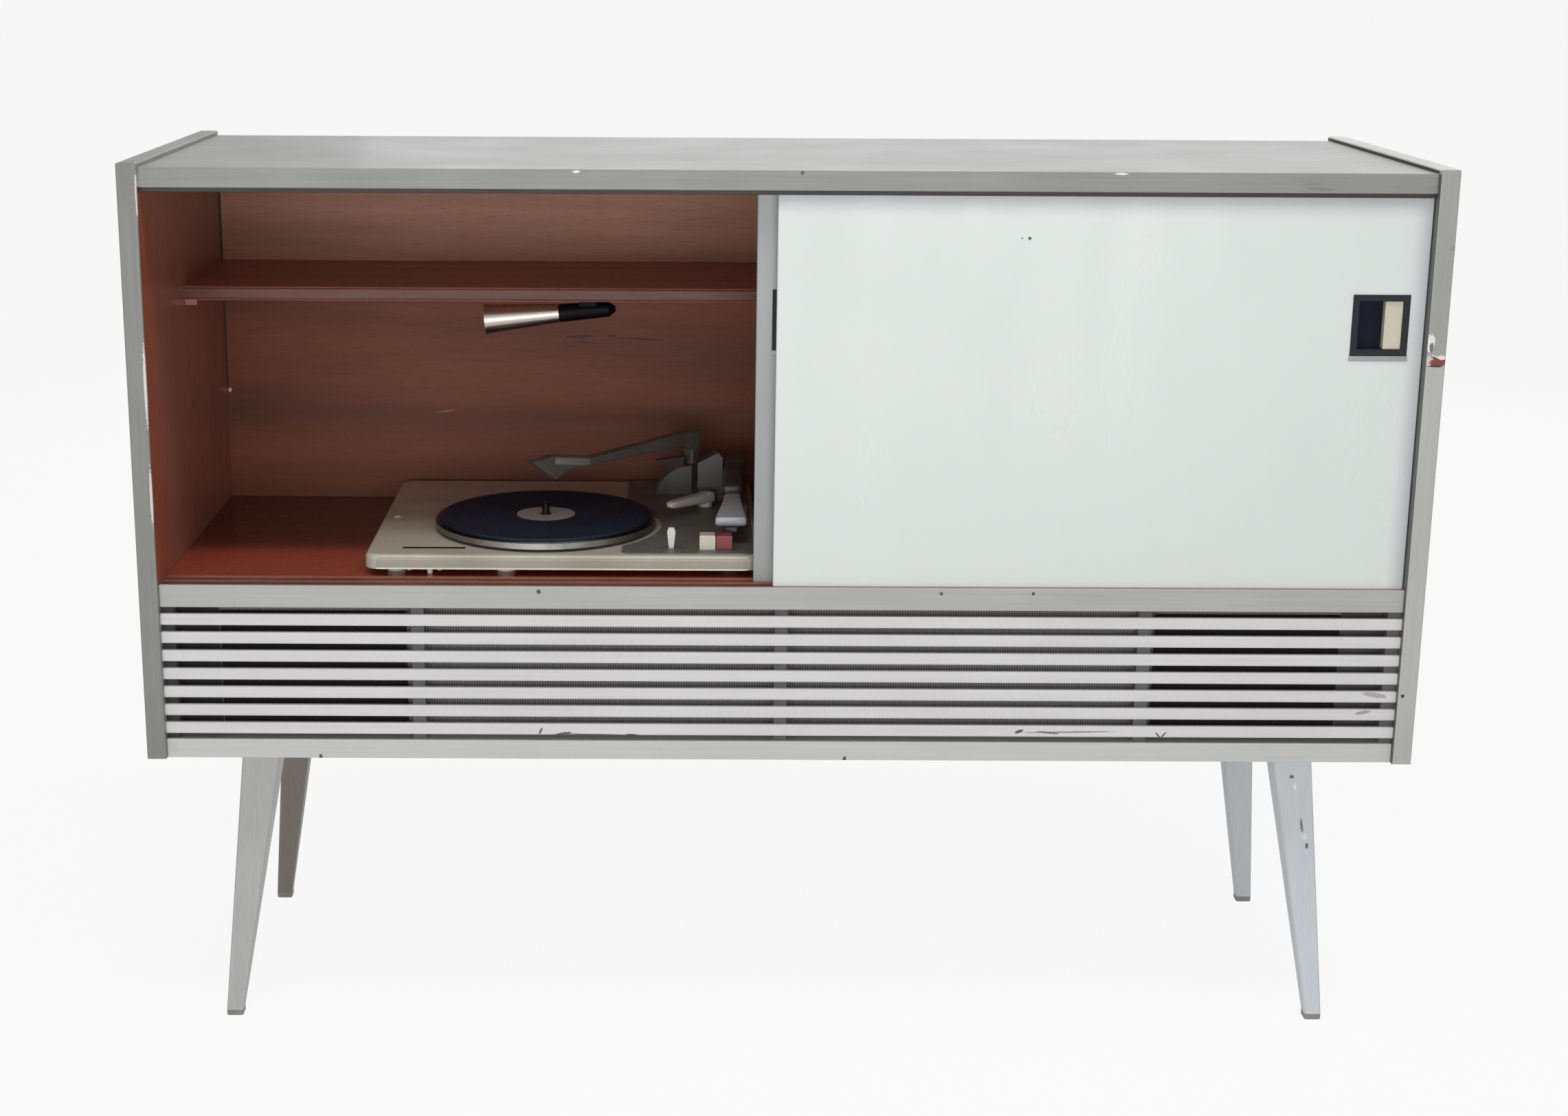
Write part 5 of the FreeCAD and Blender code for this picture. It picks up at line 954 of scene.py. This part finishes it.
@dataclass
class Case(Assembly):
    """Painted case with mahogany inside, its back and its screws."""

    board_arris: float = 0.8
    track_arris: float = 0.4
    screw_radius: float = 3.5
    screw_height: float = 1.6
    screw_slot: float = 0.55
    screws_per_row: int = 5

    def build(self) -> None:
        """Slotted heads along the back panel's edges, in place of the plain ones."""
        low, high = corners("back_screws")
        r = self.screw_radius
        head = slotted_head(r, self.screw_height, self.screw_slot)
        xs = np.linspace(low[0] + r, high[0] - r, self.screws_per_row)
        heads = [head.moved(FACING_BACK, (x, low[1], z)) for x in xs for z in (low[2] + r, high[2] - r)]
        make_piece("back_screw_heads", heads, "console", Finishes.steel, ("back_screws",))

    def dress(self) -> None:
        """Paint, veneer and stain for the boards."""
        dress(Finishes.side_left, "side_panel_left")
        dress(Finishes.side_right, "side_panel_right")
        dress(Finishes.top, "top_panel", arris=self.board_arris)
        dress(Finishes.rail, "compartment_floor", arris=self.board_arris)
        dress(Finishes.base, "bottom_panel", arris=self.board_arris)
        dress(Finishes.back, "back_panel")
        dress(Finishes.wall, "centre_partition", "shelf_cleats", arris=self.board_arris)
        dress(Finishes.shelf, "shelf_left", "shelf_right")
        dress(Finishes.track_low, "lower_track", arris=self.track_arris)
        dress(Finishes.track_high, "upper_track", arris=self.track_arris)
        dress(Finishes.rubber, "lead_grommet")


@dataclass
class Doors(Assembly):
    """Sliding doors with flush pulls and the lip below each pull."""

    door_arris: float = 0.8
    plate_arris: float = 0.5
    lip_height: float = 5.0
    lip_thickness: float = 0.9
    lip_over: float = 1.0
    lip_edge: float = 0.35

    def build(self) -> None:
        """Thin lip on the door's face below each pull's rim."""
        for side in ("left", "right"):
            low, high = corners(f"pull_{side}")
            face = corners(f"door_{side}")[0][1]
            half = (high[0] - low[0]) / 2 + self.lip_over
            lip = plate(half, self.lip_height / 2, self.lip_thickness, self.lip_edge)
            place = ((low[0] + high[0]) / 2, face, low[2] - self.lip_height / 2)
            make_piece(f"pull_lip_{side}", [lip.moved(FACING_FRONT, place)], f"{side}_door",
                       Finishes.door_grey)

    def dress(self) -> None:
        """Paint for the doors, moulded plastic for the pulls."""
        dress(Finishes.door_grey, "door_left", arris=self.door_arris)
        dress(Finishes.door_white, "door_right", arris=self.door_arris)
        dress(Finishes.pocket, "pull_left", "pull_right")
        dress(Finishes.cream, "pull_plate_left", "pull_plate_right", arris=self.plate_arris)


@dataclass
class Grille(Assembly):
    """Slats, the cloth-covered loudspeaker board, and what is behind it."""

    speaker_x: float = 442.0
    cloth_grid: tuple[int, int] = (60, 40)
    cloth_set: float = 0.2
    bulge: float = 0.5

    def build(self) -> None:
        """Stretched cloth over each opening: a grid that bulges by the product of two cosine arches."""
        low, high = corners("speaker_cloth")
        width = 2 * (high[0] - self.speaker_x)
        height = high[2] - low[2]
        u, v = np.meshgrid(*(np.linspace(-0.5, 0.5, count) for count in self.cloth_grid))
        y = high[1] - self.cloth_set - self.bulge * np.cos(np.pi * u) * np.cos(np.pi * v)
        z = (low[2] + high[2]) / 2 + v * height
        sides = (("left", -self.speaker_x, ("speaker_cloth",)), ("right", self.speaker_x, ()))
        for side, x, stands_for in sides:
            cloth = Surface(np.stack([x + u * width, y, z], -1), False)
            piece = make_piece(f"cloth_{side}", [cloth], "console", Finishes.cloth,
                               stands_for, closed=False)

    def dress(self) -> None:
        """Paint for the slats, cloth for the board, enamel and paper for the loudspeakers."""
        dress(Finishes.slat, "grille_slats")
        dress(Finishes.baffle, "speaker_baffle")
        dress(Finishes.frame_black, "speaker_frames")
        dress(Finishes.cone, "speaker_cones")


@dataclass
class Legs(Assembly):
    """Splayed legs on their plates."""

    arris: float = 0.5

    def dress(self) -> None:
        """Paint for the legs, plated steel for what holds them, nylon under them."""
        dress(Finishes.leg, "leg_front_left", "leg_front_right", "leg_rear_left", "leg_rear_right")
        dress(Finishes.steel, "leg_fixings", arris=self.arris)
        dress(Finishes.glide, "leg_tips", arris=self.arris)


@dataclass
class RecordChanger(Assembly):
    """Deck, platter, pickup arm, overhead arm and controls."""

    # Rounded edge of a turned piece: inset of its middle, and of its ends
    edge: Pair = (0.4, 1.2)
    # Mat: its hole, its ribbed band, the flat land at the band's ends, and the grooves
    mat_hole: float = 29.4
    ribbed: Pair = (34.0, 97.0)
    land: Pair = (0.5, 0.6)
    groove_first: float = 37.1
    groove_pitch: float = 6.2
    groove_depth: float = 0.6
    rib_points: int = 220
    mat_steps: int = 128
    mat_sharp: float = 60.0
    # Angle past which an edge of an arm or a lever stays sharp
    sharp: float = 50.0
    # Pickup arm: how far it stands beside its pivot and leans over its reach, and the level of its underside
    arm_side: float = 13.5
    arm_lean: float = 6.5
    head_reach: float = 200.0
    arm_under: float = 490.0
    arm_points: int = 120
    # Rise of the underside towards the pivot, where it starts, and over what length
    arm_rise: Point = (2.0, 120.0, 80.0)
    # From here on the shell's top stays level, at this height over the underside
    head_from: float = 192.0
    head_top: float = 10.6
    # How square the sections are, and rows of reach, half width and half height
    shell_power: float = 6.0
    shell: tuple[Point, ...] = (
        (60, 5.8, 4.4), (80, 6.8, 4.6), (100, 8.2, 4.9), (120, 9.0, 5.0), (140, 10.6, 5.1), (160, 12.2, 5.3),
        (175, 13.4, 5.4), (186, 14.4, 5.4), (192, 15.1, 5.3), (196, 15.1, 4.3), (198.4, 14.6, 3.4),
        (199.4, 13.4, 2.6))
    # Hood: how square it is, its half width, its top over the pivot, how much that falls, and rows of reach,
    # share of the half width, half height and depth of the middle below the top
    hood_power: float = 4.0
    hood_half: float = 10.0
    hood_top: float = 14.0
    hood_fall: float = 5.0
    hood: tuple[tuple[float, float, float, float], ...] = (
        (2, 1, 8.4, 8.4), (20, 1, 8.0, 8.0), (50, 1, 7.2, 7.2), (80, 1, 6.4, 6.4), (89, 1, 6.1, 6.1),
        (93.4, 0.94, 5.2, 6), (95.4, 0.82, 4.0, 6), (96, 0.6, 2.4, 6))
    # Tail: rows of inset from its radius and from its half width; and its screw's radius, height and slot
    tail_radius: float = 17.0
    tail_half: float = 11.0
    tail_rim: tuple[Pair, ...] = ((8.4, 0.8), (8.0, 0.0), (2.5, 0.0), (0.5, 0.7), (0.0, 2.6))
    tail_screw: Point = (4.2, 1.4, 0.6)
    # Size lever: its ends, how square it is, the tip's angles, half width and half height at the pivot and
    # where the tip starts, and its boss
    lever_back: float = 6.0
    lever_length: float = 61.0
    lever_tip: float = 9.0
    lever_power: float = 3.6
    tip_angles: Pair = (0.05, 1.53)
    lever_points: tuple[int, int] = (40, 18)
    lever_widths: Pair = (7.4, 5.8)
    lever_heights: Pair = (5.9, 3.8)
    lever_angle: float = 231.6
    lever_top: float = 15.4
    least_height: float = 0.3
    boss_radius: float = 7.0
    boss_foot: float = 0.4
    # Inlay on the overhead arm: half sizes, thickness, edge, and how deep it is let in
    inlay_reach: float = 181.0
    inlay_level: float = 532.4
    inlay_half: Pair = (24.0, 3.3)
    inlay_thick: float = 0.8
    inlay_edge: float = 0.3
    inlay_sunk: float = 0.2
    inlay_slope: float = 9.5
    overarm_half: float = 6.5
    deck_screw: Pair = (-380.4, 1.6)
    deck_screw_head: Point = (3.4, 1.5, 0.5)
    turret_arris: float = 1.4
    rest_arris: float = 0.5
    cartridge_arris: float = 0.4
    lever_arris: float = 0.6

    def build(self) -> None:
        """The mat, the arm, the size lever, the overhead arm's inlay and the deck's screw."""
        self.build_mat()
        self.build_shell()
        self.build_hood()
        self.build_lever()
        self.build_inlay()
        place = (*self.deck_screw, corners("deck_plate")[1][2])
        screw = slotted_head(*self.deck_screw_head).moved(FACING_UP, place)
        make_piece("deck_screw_head", [screw], "console", Finishes.white)

    def build_mat(self) -> None:
        """Ribbed mat: between two radii the top dips by the cube of a raised cosine of the radius."""
        low, high = corners("platter_mat")
        centre = (low + high) / 2
        outer, thick = (high[0] - low[0]) / 2, high[2] - low[2]
        hole = self.mat_hole
        near, far = self.edge
        first, last = self.ribbed
        radius = np.linspace(first, last, self.rib_points)
        wave = 0.5 + 0.5 * np.cos(2 * np.pi * (radius - self.groove_first) / self.groove_pitch)
        ribs = np.column_stack([radius, thick - self.groove_depth * wave ** 3])
        inside = [(hole, 0.0), (hole, thick - near), (hole + near, thick), (first - self.land[0], thick)]
        outside = [(last + self.land[1], thick), (outer - far, thick), (outer - near, thick - near),
                   (outer, thick - far), (outer, 0.0), (hole, 0.0)]
        mat = lathe([*inside, *ribs.tolist(), *outside], self.mat_steps)
        mat = mat.moved(FACING_UP, (centre[0], centre[1], low[2]))
        make_piece("mat_ribbed", [mat], "platter_body", Finishes.mat, ("platter_mat",),
                   sharp=self.mat_sharp)

    def build_shell(self) -> None:
        """Arm shell: sections whose width and height follow smooth curves of the reach."""
        reach, width, height = np.array(self.shell, float).T
        rise, start, run = self.arm_rise
        level = self.arm_under + rise * np.clip((start - reach) / run, 0, 1)
        level += np.where(reach > self.head_from, self.head_top - height, height)
        shell = self.along_arm(reach, width, height, level, self.shell_power)
        make_piece("arm_shell", [shell], "pickup_arm", Finishes.arm_pale, ("tonearm",),
                   sharp=self.sharp)

    def build_hood(self) -> None:
        """Hood of tapering sections over the arm, and its round tail: a dished disc with a screw."""
        pivot = joint_place("tonearm_lift")
        reach, share, height, depth = np.array(self.hood, float).T
        top = pivot[2] + self.hood_top - self.hood_fall * (reach - reach[0]) / (reach[-1] - reach[0])
        hood = self.along_arm(reach, self.hood_half * share, height, top - depth, self.hood_power)
        r, h = self.tail_radius, self.tail_half
        dish = h - self.tail_rim[0][1]
        rim = [(r - inset, h - drop) for inset, drop in self.tail_rim]
        tail = lathe([(0, -dish), *((x, -z) for x, z in rim), *rim[::-1], (0, dish)])
        screw = slotted_head(*self.tail_screw).moved(FACING_RIGHT, (dish, 0, 0))
        place = (pivot[0] + self.arm_side, pivot[1], pivot[2])
        shapes = [tail.moved(FACING_RIGHT, place), screw.moved(FACING_UP, place), hood]
        make_piece("arm_hood", shapes, "pickup_arm", Finishes.arm_dark, sharp=self.sharp)

    def along_arm(self, reach: np.ndarray, width: np.ndarray, height: np.ndarray, level: np.ndarray,
                  power: float) -> Surface:
        """Sections along the leaning arm, filled in between the given ones.

        Args:
            reach: distances in front of the pivot.
            width: half widths there.
            height: half heights there.
            level: heights of the middles there.
            power: how square the sections are.
        Returns:
            The closed surface.
        """
        pivot = joint_place("tonearm_lift")
        fine = np.linspace(reach[0], reach[-1], self.arm_points)
        width, height, level = (np.interp(fine, reach, v) for v in (width, height, level))
        across = pivot[0] + self.arm_side - self.arm_lean * fine / self.head_reach
        centres = np.column_stack([across, pivot[1] - fine, level])
        return loft(centres, np.column_stack([width, height]), power)

    def build_lever(self) -> None:
        """Size lever: a blade that narrows and thins along its length to a half ellipse, on its boss."""
        pivot = joint_place("size_select")
        near, far = self.edge
        end = self.lever_length - self.lever_tip
        straight, bent = self.lever_points
        tip_angle = np.linspace(*self.tip_angles, bent)
        along = np.linspace(-self.lever_back, end, straight)
        along = np.append(along, end + self.lever_tip * np.sin(tip_angle))
        half, thick = (np.interp(along, [0, end], sizes) for sizes in (self.lever_widths, self.lever_heights))
        tip = np.sqrt(np.clip(1 - (np.clip(along - end, 0, None) / self.lever_tip) ** 2, 0, 1))
        top = pivot[2] + self.lever_top
        centres = np.column_stack([np.zeros_like(along), along, top - thick])
        halves = np.column_stack([half * tip, thick * np.maximum(tip, self.least_height)])
        blade = loft(centres, halves, self.lever_power)
        turn = np.radians(self.lever_angle - 90)
        spin = np.array([[np.cos(turn), -np.sin(turn), 0], [np.sin(turn), np.cos(turn), 0], [0, 0, 1]])
        foot, r = pivot[2] + self.boss_foot, self.boss_radius
        boss = lathe([(0, foot), (r, foot), (r, top - far), (r - near, top - near), (r - far, top), (0, top)])
        place = (pivot[0], pivot[1], 0)
        make_piece("lever_blade", [blade.moved(spin, place), boss.moved(FACING_UP, place)], "size_control",
                   Finishes.white, ("size_lever",), sharp=self.sharp)

    def build_inlay(self) -> None:
        """Pale strip let into the side of the overhead arm's head, along its upper edge."""
        post, hub = joint_place("overarm_swing"), joint_place("platter_spin")
        along = (hub - post) * [1, 1, 0]
        along /= np.linalg.norm(along)
        up = np.array([0.0, 0.0, 1.0])
        out = np.cross(up, along)
        slope = np.radians(self.inlay_slope)
        right = -(along * np.cos(slope) + up * np.sin(slope))
        turn = np.column_stack([right, np.cross(out, right), out])
        place = post + along * self.inlay_reach + out * (self.overarm_half - self.inlay_sunk)
        strip = plate(*self.inlay_half, self.inlay_thick, self.inlay_edge)
        strip = strip.moved(turn, (place[0], place[1], self.inlay_level))
        make_piece("overarm_inlay", [strip], "overhead_arm", Finishes.inlay)

    def dress(self) -> None:
        """Enamel for the deck, metal for the platter, plastic for arms and controls."""
        dress(Finishes.deck, "deck_plate")
        dress(Finishes.panel, "control_panel")
        dress(Finishes.mount, "deck_mounts")
        dress(Finishes.platter, "platter")
        dress(Finishes.spindle, "spindle")
        dress(Finishes.motor, "drive_motor")
        dress(Finishes.brass, "motor_pulley")
        dress(Finishes.rubber, "idler_wheel")
        dress(Finishes.arm_dark, "tonearm_turret", arris=self.turret_arris)
        dress(Finishes.arm_dark, "arm_rest", arris=self.rest_arris)
        dress(Finishes.cartridge, "cartridge", arris=self.cartridge_arris)
        dress(Finishes.overarm, "overarm")
        dress(Finishes.post, "overarm_post")
        dress(Finishes.cream, "start_button")
        dress(Finishes.red, "stop_button")
        dress(Finishes.white, "speed_lever", arris=self.lever_arris)


@dataclass
class Lamp(Assembly):
    """Small lamp under the shelf."""

    filament_radius: float = 1.1
    filament_turns: float = 9.0
    filament_start: float = 12.0
    filament_length: float = 9.0
    filament_drop: float = 0.6
    wire: float = 0.12
    coil_points: int = 160
    wire_steps: int = 8

    def build(self) -> None:
        """Filament in the bulb: a circle of the wire's radius carried along a coil that lies in it."""
        low, high = corners("lamp_bulb")
        middle = (low + high) / 2 - [self.filament_start, 0, self.filament_drop]
        t = np.linspace(0, 1, self.coil_points)
        angle = 2 * np.pi * self.filament_turns * t
        r = self.filament_radius
        path = middle + np.column_stack([self.filament_length * t, r * np.cos(angle), r * np.sin(angle)])
        ahead = np.gradient(path, axis=0)
        ahead /= np.linalg.norm(ahead, axis=1, keepdims=True)
        side = np.cross(ahead, [1.0, 0.0, 0.0])
        side /= np.linalg.norm(side, axis=1, keepdims=True)
        round_wire = np.linspace(0, 2 * np.pi, self.wire_steps, endpoint=False)[None, :, None]
        ring = side[:, None] * np.cos(round_wire) + np.cross(ahead, side)[:, None] * np.sin(round_wire)
        coil = Surface(path[:, None] + self.wire * ring)
        make_piece("bulb_filament", [coil], "console", Finishes.steel)

    def dress(self) -> None:
        """Chrome for the shade, black plastic for the holder, glass for the bulb."""
        dress(Finishes.chrome, "lamp_shade")
        dress(Finishes.black, "lamp_holder")
        dress(Finishes.glass, "lamp_bulb")


@dataclass
class Radio(Assembly):
    """Radio behind the right door: dial print, lined knobs and the chassis."""

    # Card and print: margin inside the glass, gap behind the pointer, thickness of card and ink
    margin: float = 5.2
    pointer_gap: float = 0.3
    card_thick: float = 0.1
    ink_thick: float = 0.12
    # Scales: heights over the card's foot, numbers, and how far line, ticks and numbers stay from the ends
    scale_rows: Point = (16.0, 37.0, 58.0)
    scale_numbers: tuple[str, str, str] = ("55 60 70 80 100 120 140 160", "150 170 200 230 260 300 350",
                                           "6 7 8 9 10 12 14 16 18")
    scale_insets: Point = (12.0, 20.0, 28.0)
    line_width: float = 0.5
    ticks: int = 41
    long_every: int = 5
    tick_heights: Pair = (4.0, 2.2)
    number_size: float = 6.0
    number_drop: float = 7.2
    number_proud: float = 0.04
    # Knobs: their dished face, and where the line starts and ends on it, its half width, how far it sinks in
    # and stands proud
    dish_depth: float = 1.5
    dish_radius: float = 19.0
    knob_line: Pair = (9.5, 17.5)
    knob_line_half: float = 0.5
    knob_line_sunk: float = 0.4
    knob_line_proud: float = 0.15

    def build(self) -> None:
        """The dial's card and print, and a line on each knob."""
        self.build_dial()
        for name in ("volume", "band", "tuning"):
            self.build_knob(name)

    def build_dial(self) -> None:
        """Card on the dial's floor with three ruled scales, ticks and numbers on it."""
        low, high = corners("dial_glass")
        floor = corners("dial_pointer")[1][1] + self.pointer_gap
        face = floor - self.card_thick
        left, right, base = low[0] + self.margin, high[0] - self.margin, low[2] + self.margin
        card = np.array([[[left, face, base], [right, floor, high[2] - self.margin]]])
        make_piece("dial_card", [slabs(card)], "console", Finishes.card)
        for_line, for_ticks, for_numbers = self.scale_insets
        half = self.line_width / 2
        ink, numbers = [], []
        for row, words in zip(self.scale_rows, self.scale_numbers):
            z = base + row
            ink.append([left + for_line, z, right - for_line, z + self.line_width])
            for i, x in enumerate(np.linspace(left + for_ticks, right - for_ticks, self.ticks)):
                ink.append([x - half, z, x + half, z + self.tick_heights[i % self.long_every > 0]])
            values = words.split()
            places = np.linspace(left + for_numbers, right - for_numbers, len(values))
            numbers += [self.number(word, x, face - self.number_proud, z - self.number_drop)
                        for word, x in zip(values, places)]
        lines = np.insert(np.array(ink).reshape(-1, 2, 2), 1, face, axis=2)
        lines[:, 0, 1] -= self.ink_thick
        make_piece("dial_print", [slabs(lines), *numbers], "console", Finishes.ink,
                   closed=False)

    def number(self, word: str, x: float, y: float, z: float) -> Mesh:
        """Outline of a number as a flat mesh on the card.

        Args:
            word: digits.
            x: middle of the word.
            y: level of the print.
            z: foot of the digits.
        Returns:
            Points in millimetres and faces.
        """
        curve = bpy.data.curves.new(f"digits_{word}", "FONT")
        curve.body = word
        curve.size = self.number_size
        curve.align_x = "CENTER"
        curve.resolution_u = 3
        holder = put(f"digits_{word}", curve)
        bpy.context.view_layer.update()
        mesh = bpy.data.meshes.new_from_object(holder.evaluated_get(bpy.context.evaluated_depsgraph_get()))
        local = np.zeros((len(mesh.vertices), 3))
        mesh.vertices.foreach_get("co", local.ravel())
        mesh.calc_loop_triangles()
        faces = np.zeros((len(mesh.loop_triangles), 3), int)
        mesh.loop_triangles.foreach_get("vertices", faces.ravel())
        bpy.data.objects.remove(holder)
        bpy.data.curves.remove(curve)
        bpy.data.meshes.remove(mesh)
        return np.column_stack([x + local[:, 0], np.full(len(local), y), z + local[:, 1]]), faces

    def build_knob(self, name: str) -> None:
        """Line on a knob's dished face: a thin slab that rises with the distance from the middle.

        Args:
            name: which knob.
        """
        place = joint_place(f"{name}_turn")
        dish = place[1] - corners(f"{name}_knob")[0][1] - self.dish_depth
        start, end = self.knob_line
        half = self.knob_line_half
        points, faces = slabs(np.array([[[-half, start, dish - self.knob_line_sunk],
                                         [half, end, dish + self.knob_line_proud]]]))
        points[:, 2] += self.dish_depth * points[:, 1] / self.dish_radius
        line = (points @ FACING_FRONT.T + place, faces)
        make_piece(f"{name}_knob_line", [line], f"{name}_control", Finishes.ink)

    def dress(self) -> None:
        """Veneer for the fascia, glass for the dial, lacquer for the pointer, plating for the chassis."""
        dress(Finishes.fascia, "radio_fascia")
        dress(Finishes.glass, "dial_glass")
        dress(Finishes.pointer, "dial_pointer")
        dress(Finishes.knob, "volume_knob", "band_knob", "tuning_knob")
        dress(Finishes.chassis, "radio_chassis")


@dataclass(frozen=True)
class SoftBox:
    """Rectangular lamp: its place and size in metres, and its power in watts."""

    name: str
    place: Point
    size: Pair
    power: float


@dataclass
class Studio:
    """Pale floor and backdrop in one sweep, soft lamps, and the photograph's camera."""

    width: float = 16000.0
    depth: float = 9000.0
    bend: float = 1500.0
    wall: float = 5000.0
    bend_points: int = 24
    # Camera: its place, its angles in radians, its focal length and middle in pixels of the frame
    place: Point = (-93.56, -2317.73, 1029.19)
    yaw: float = 0.0034
    pitch: float = -0.2530
    roll: float = 0.0055
    focal: float = 3441.68
    frame_width: int = 2282
    middle_x: float = 1004.07
    sensor: float = 36.0
    sight: float = 100.0
    # Paper: its two tones, the size of its mottle, and the share of white in it as it is seen
    paper_tones: tuple[str, str] = ("#f4f4f2", "#efefed")
    mottle: float = 1000 / 3
    paper_glow: float = 0.9
    # Sky: its colour, and its strength as it lights and as it is seen; and what the lamps aim at
    sky_colour: str = "#fbfcfd"
    sky_light: float = 0.25
    sky_shown: float = 0.93
    aim: Point = (0.0, 0.0, 0.5)
    boxes: tuple[SoftBox, ...] = (
        SoftBox("high_box", (0.2, -1.13, 3.2), (3.0, 0.6), 34.0),
        SoftBox("low_box", (-0.4, -3.3, 0.55), (3.4, 1.1), 45.0),
        SoftBox("right_box", (2.2, -2.7, 1.6), (2.0, 2.0), 5.0),
        SoftBox("back_box", (0.5, 3.2, 2.0), (3.0, 2.0), 22.0))

    def build(self) -> None:
        """The sweep, the lamps and the camera."""
        self.build_sweep()
        self.build_lamps()
        self.build_camera()

    def build_sweep(self) -> None:
        """Floor that bends up into a wall: a run, a quarter circle and a rise, carried along x."""
        angle = np.linspace(0, np.pi / 2, self.bend_points)
        back = self.depth / 2
        y = np.concatenate([[-self.depth], back + self.bend * np.sin(angle), [back + self.bend]])
        z = np.concatenate([[0.0], self.bend * (1 - np.cos(angle)), [self.bend + self.wall]])
        x, y = np.meshgrid([-self.width / 2, self.width / 2], y, indexing="ij")
        sweep = Surface(np.stack([x, y, np.broadcast_to(z, x.shape)], -1), False)
        mesh = bpy.data.meshes.new("paper_sweep")
        mesh.from_pydata((sweep.points.reshape(-1, 3) * MM).tolist(), [], sweep.faces().tolist())
        mesh.shade_smooth()
        mesh.materials.append(self.paper())
        put("paper_sweep", mesh)

    def paper(self) -> bpy.types.Material:
        """Matt white paper that keeps shadows and is seen as nearly white."""
        made = bpy.data.materials.new("matt_white_paper")
        tree = blank_tree(made)
        coords = add(tree, "TexCoord", out="Object")
        fibre = add(tree, "TexNoise", {"Vector": coords, "Scale": 1 / (self.mottle * MM), "Detail": 3.0})
        pale, dull = (linear(tone) for tone in self.paper_tones)
        tone = add(tree, "Mix", {SHARE: fibre, UNDER: pale, OVER: dull}, **COLOURS)
        matt = add(tree, "BsdfDiffuse", {"Color": tone})
        glow = add(tree, "Emission", {"Color": (1, 1, 1, 1), "Strength": 1.0})
        share = add(tree, "Math", (self.seen(tree), self.paper_glow), operation="MULTIPLY")
        both = add(tree, "MixShader", (share, matt, glow))
        add(tree, "OutputMaterial", {"Surface": both}, None)
        return made

    def seen(self, tree: Tree) -> Socket:
        """One for rays from the camera, a mirror or a glass, else zero.

        Args:
            tree: the material's or world's tree.
        Returns:
            Socket of the share.
        """
        camera, glossy, glass = (add(tree, "LightPath", out=f"Is {ray} Ray")
                                 for ray in ("Camera", "Glossy", "Transmission"))
        bounced = add(tree, "Math", (glossy, glass), operation="MAXIMUM")
        return add(tree, "Math", (camera, bounced), operation="MAXIMUM")

    def build_lamps(self) -> None:
        """Soft boxes at the front, above and behind, and an even sky."""
        for box in self.boxes:
            data = bpy.data.lights.new(box.name, "AREA")
            data.shape = "RECTANGLE"
            data.size, data.size_y = box.size
            data.energy = box.power
            turn = (Vector(self.aim) - Vector(box.place)).to_track_quat("-Z", "Y").to_matrix().to_4x4()
            put(box.name, data).matrix_world = Matrix.Translation(box.place) @ turn
        world = bpy.data.worlds.new("soft_sky")
        tree = blank_tree(world)
        level = add(tree, "MapRange", (self.seen(tree), 0.0, 1.0, self.sky_light, self.sky_shown))
        sky = add(tree, "Background", {"Color": linear(self.sky_colour), "Strength": level})
        add(tree, "OutputWorld", {"Surface": sky}, None)
        bpy.context.scene.world = world
        bpy.context.scene.view_settings.view_transform = "Standard"

    def build_camera(self) -> None:
        """Camera fitted to the photograph, whose axis lies left of the frame's middle."""
        level = np.array([np.sin(self.yaw), np.cos(self.yaw), 0])
        forward = level * np.cos(self.pitch) + np.array([0, 0, np.sin(self.pitch)])
        right = np.array([np.cos(self.yaw), -np.sin(self.yaw), 0])
        up = np.cross(right, forward)
        side = right * np.cos(self.roll) + up * np.sin(self.roll)
        top = up * np.cos(self.roll) - right * np.sin(self.roll)
        data = bpy.data.cameras.new("photograph")
        data.sensor_width = self.sensor
        data.lens = self.focal / self.frame_width * self.sensor
        data.shift_x = 0.5 - self.middle_x / self.frame_width
        data.clip_end = self.sight
        turn = np.eye(4)
        turn[:3, :3] = np.column_stack([side, top, -forward])
        turn[:3, 3] = np.array(self.place) * MM
        camera = put("photograph", data)
        camera.matrix_world = Matrix(turn.tolist())
        bpy.context.scene.camera = camera


def main() -> None:
    """Build and dress each sub-assembly in order."""
    logging.basicConfig(level=logging.INFO, format="%(name)s: %(message)s")
    Studio().build()
    for assembly in (Case(), Doors(), Grille(), Legs(), RecordChanger(), Lamp(), Radio()):
        assembly.build()
        assembly.dress()


if __name__ == "__main__":
    main()
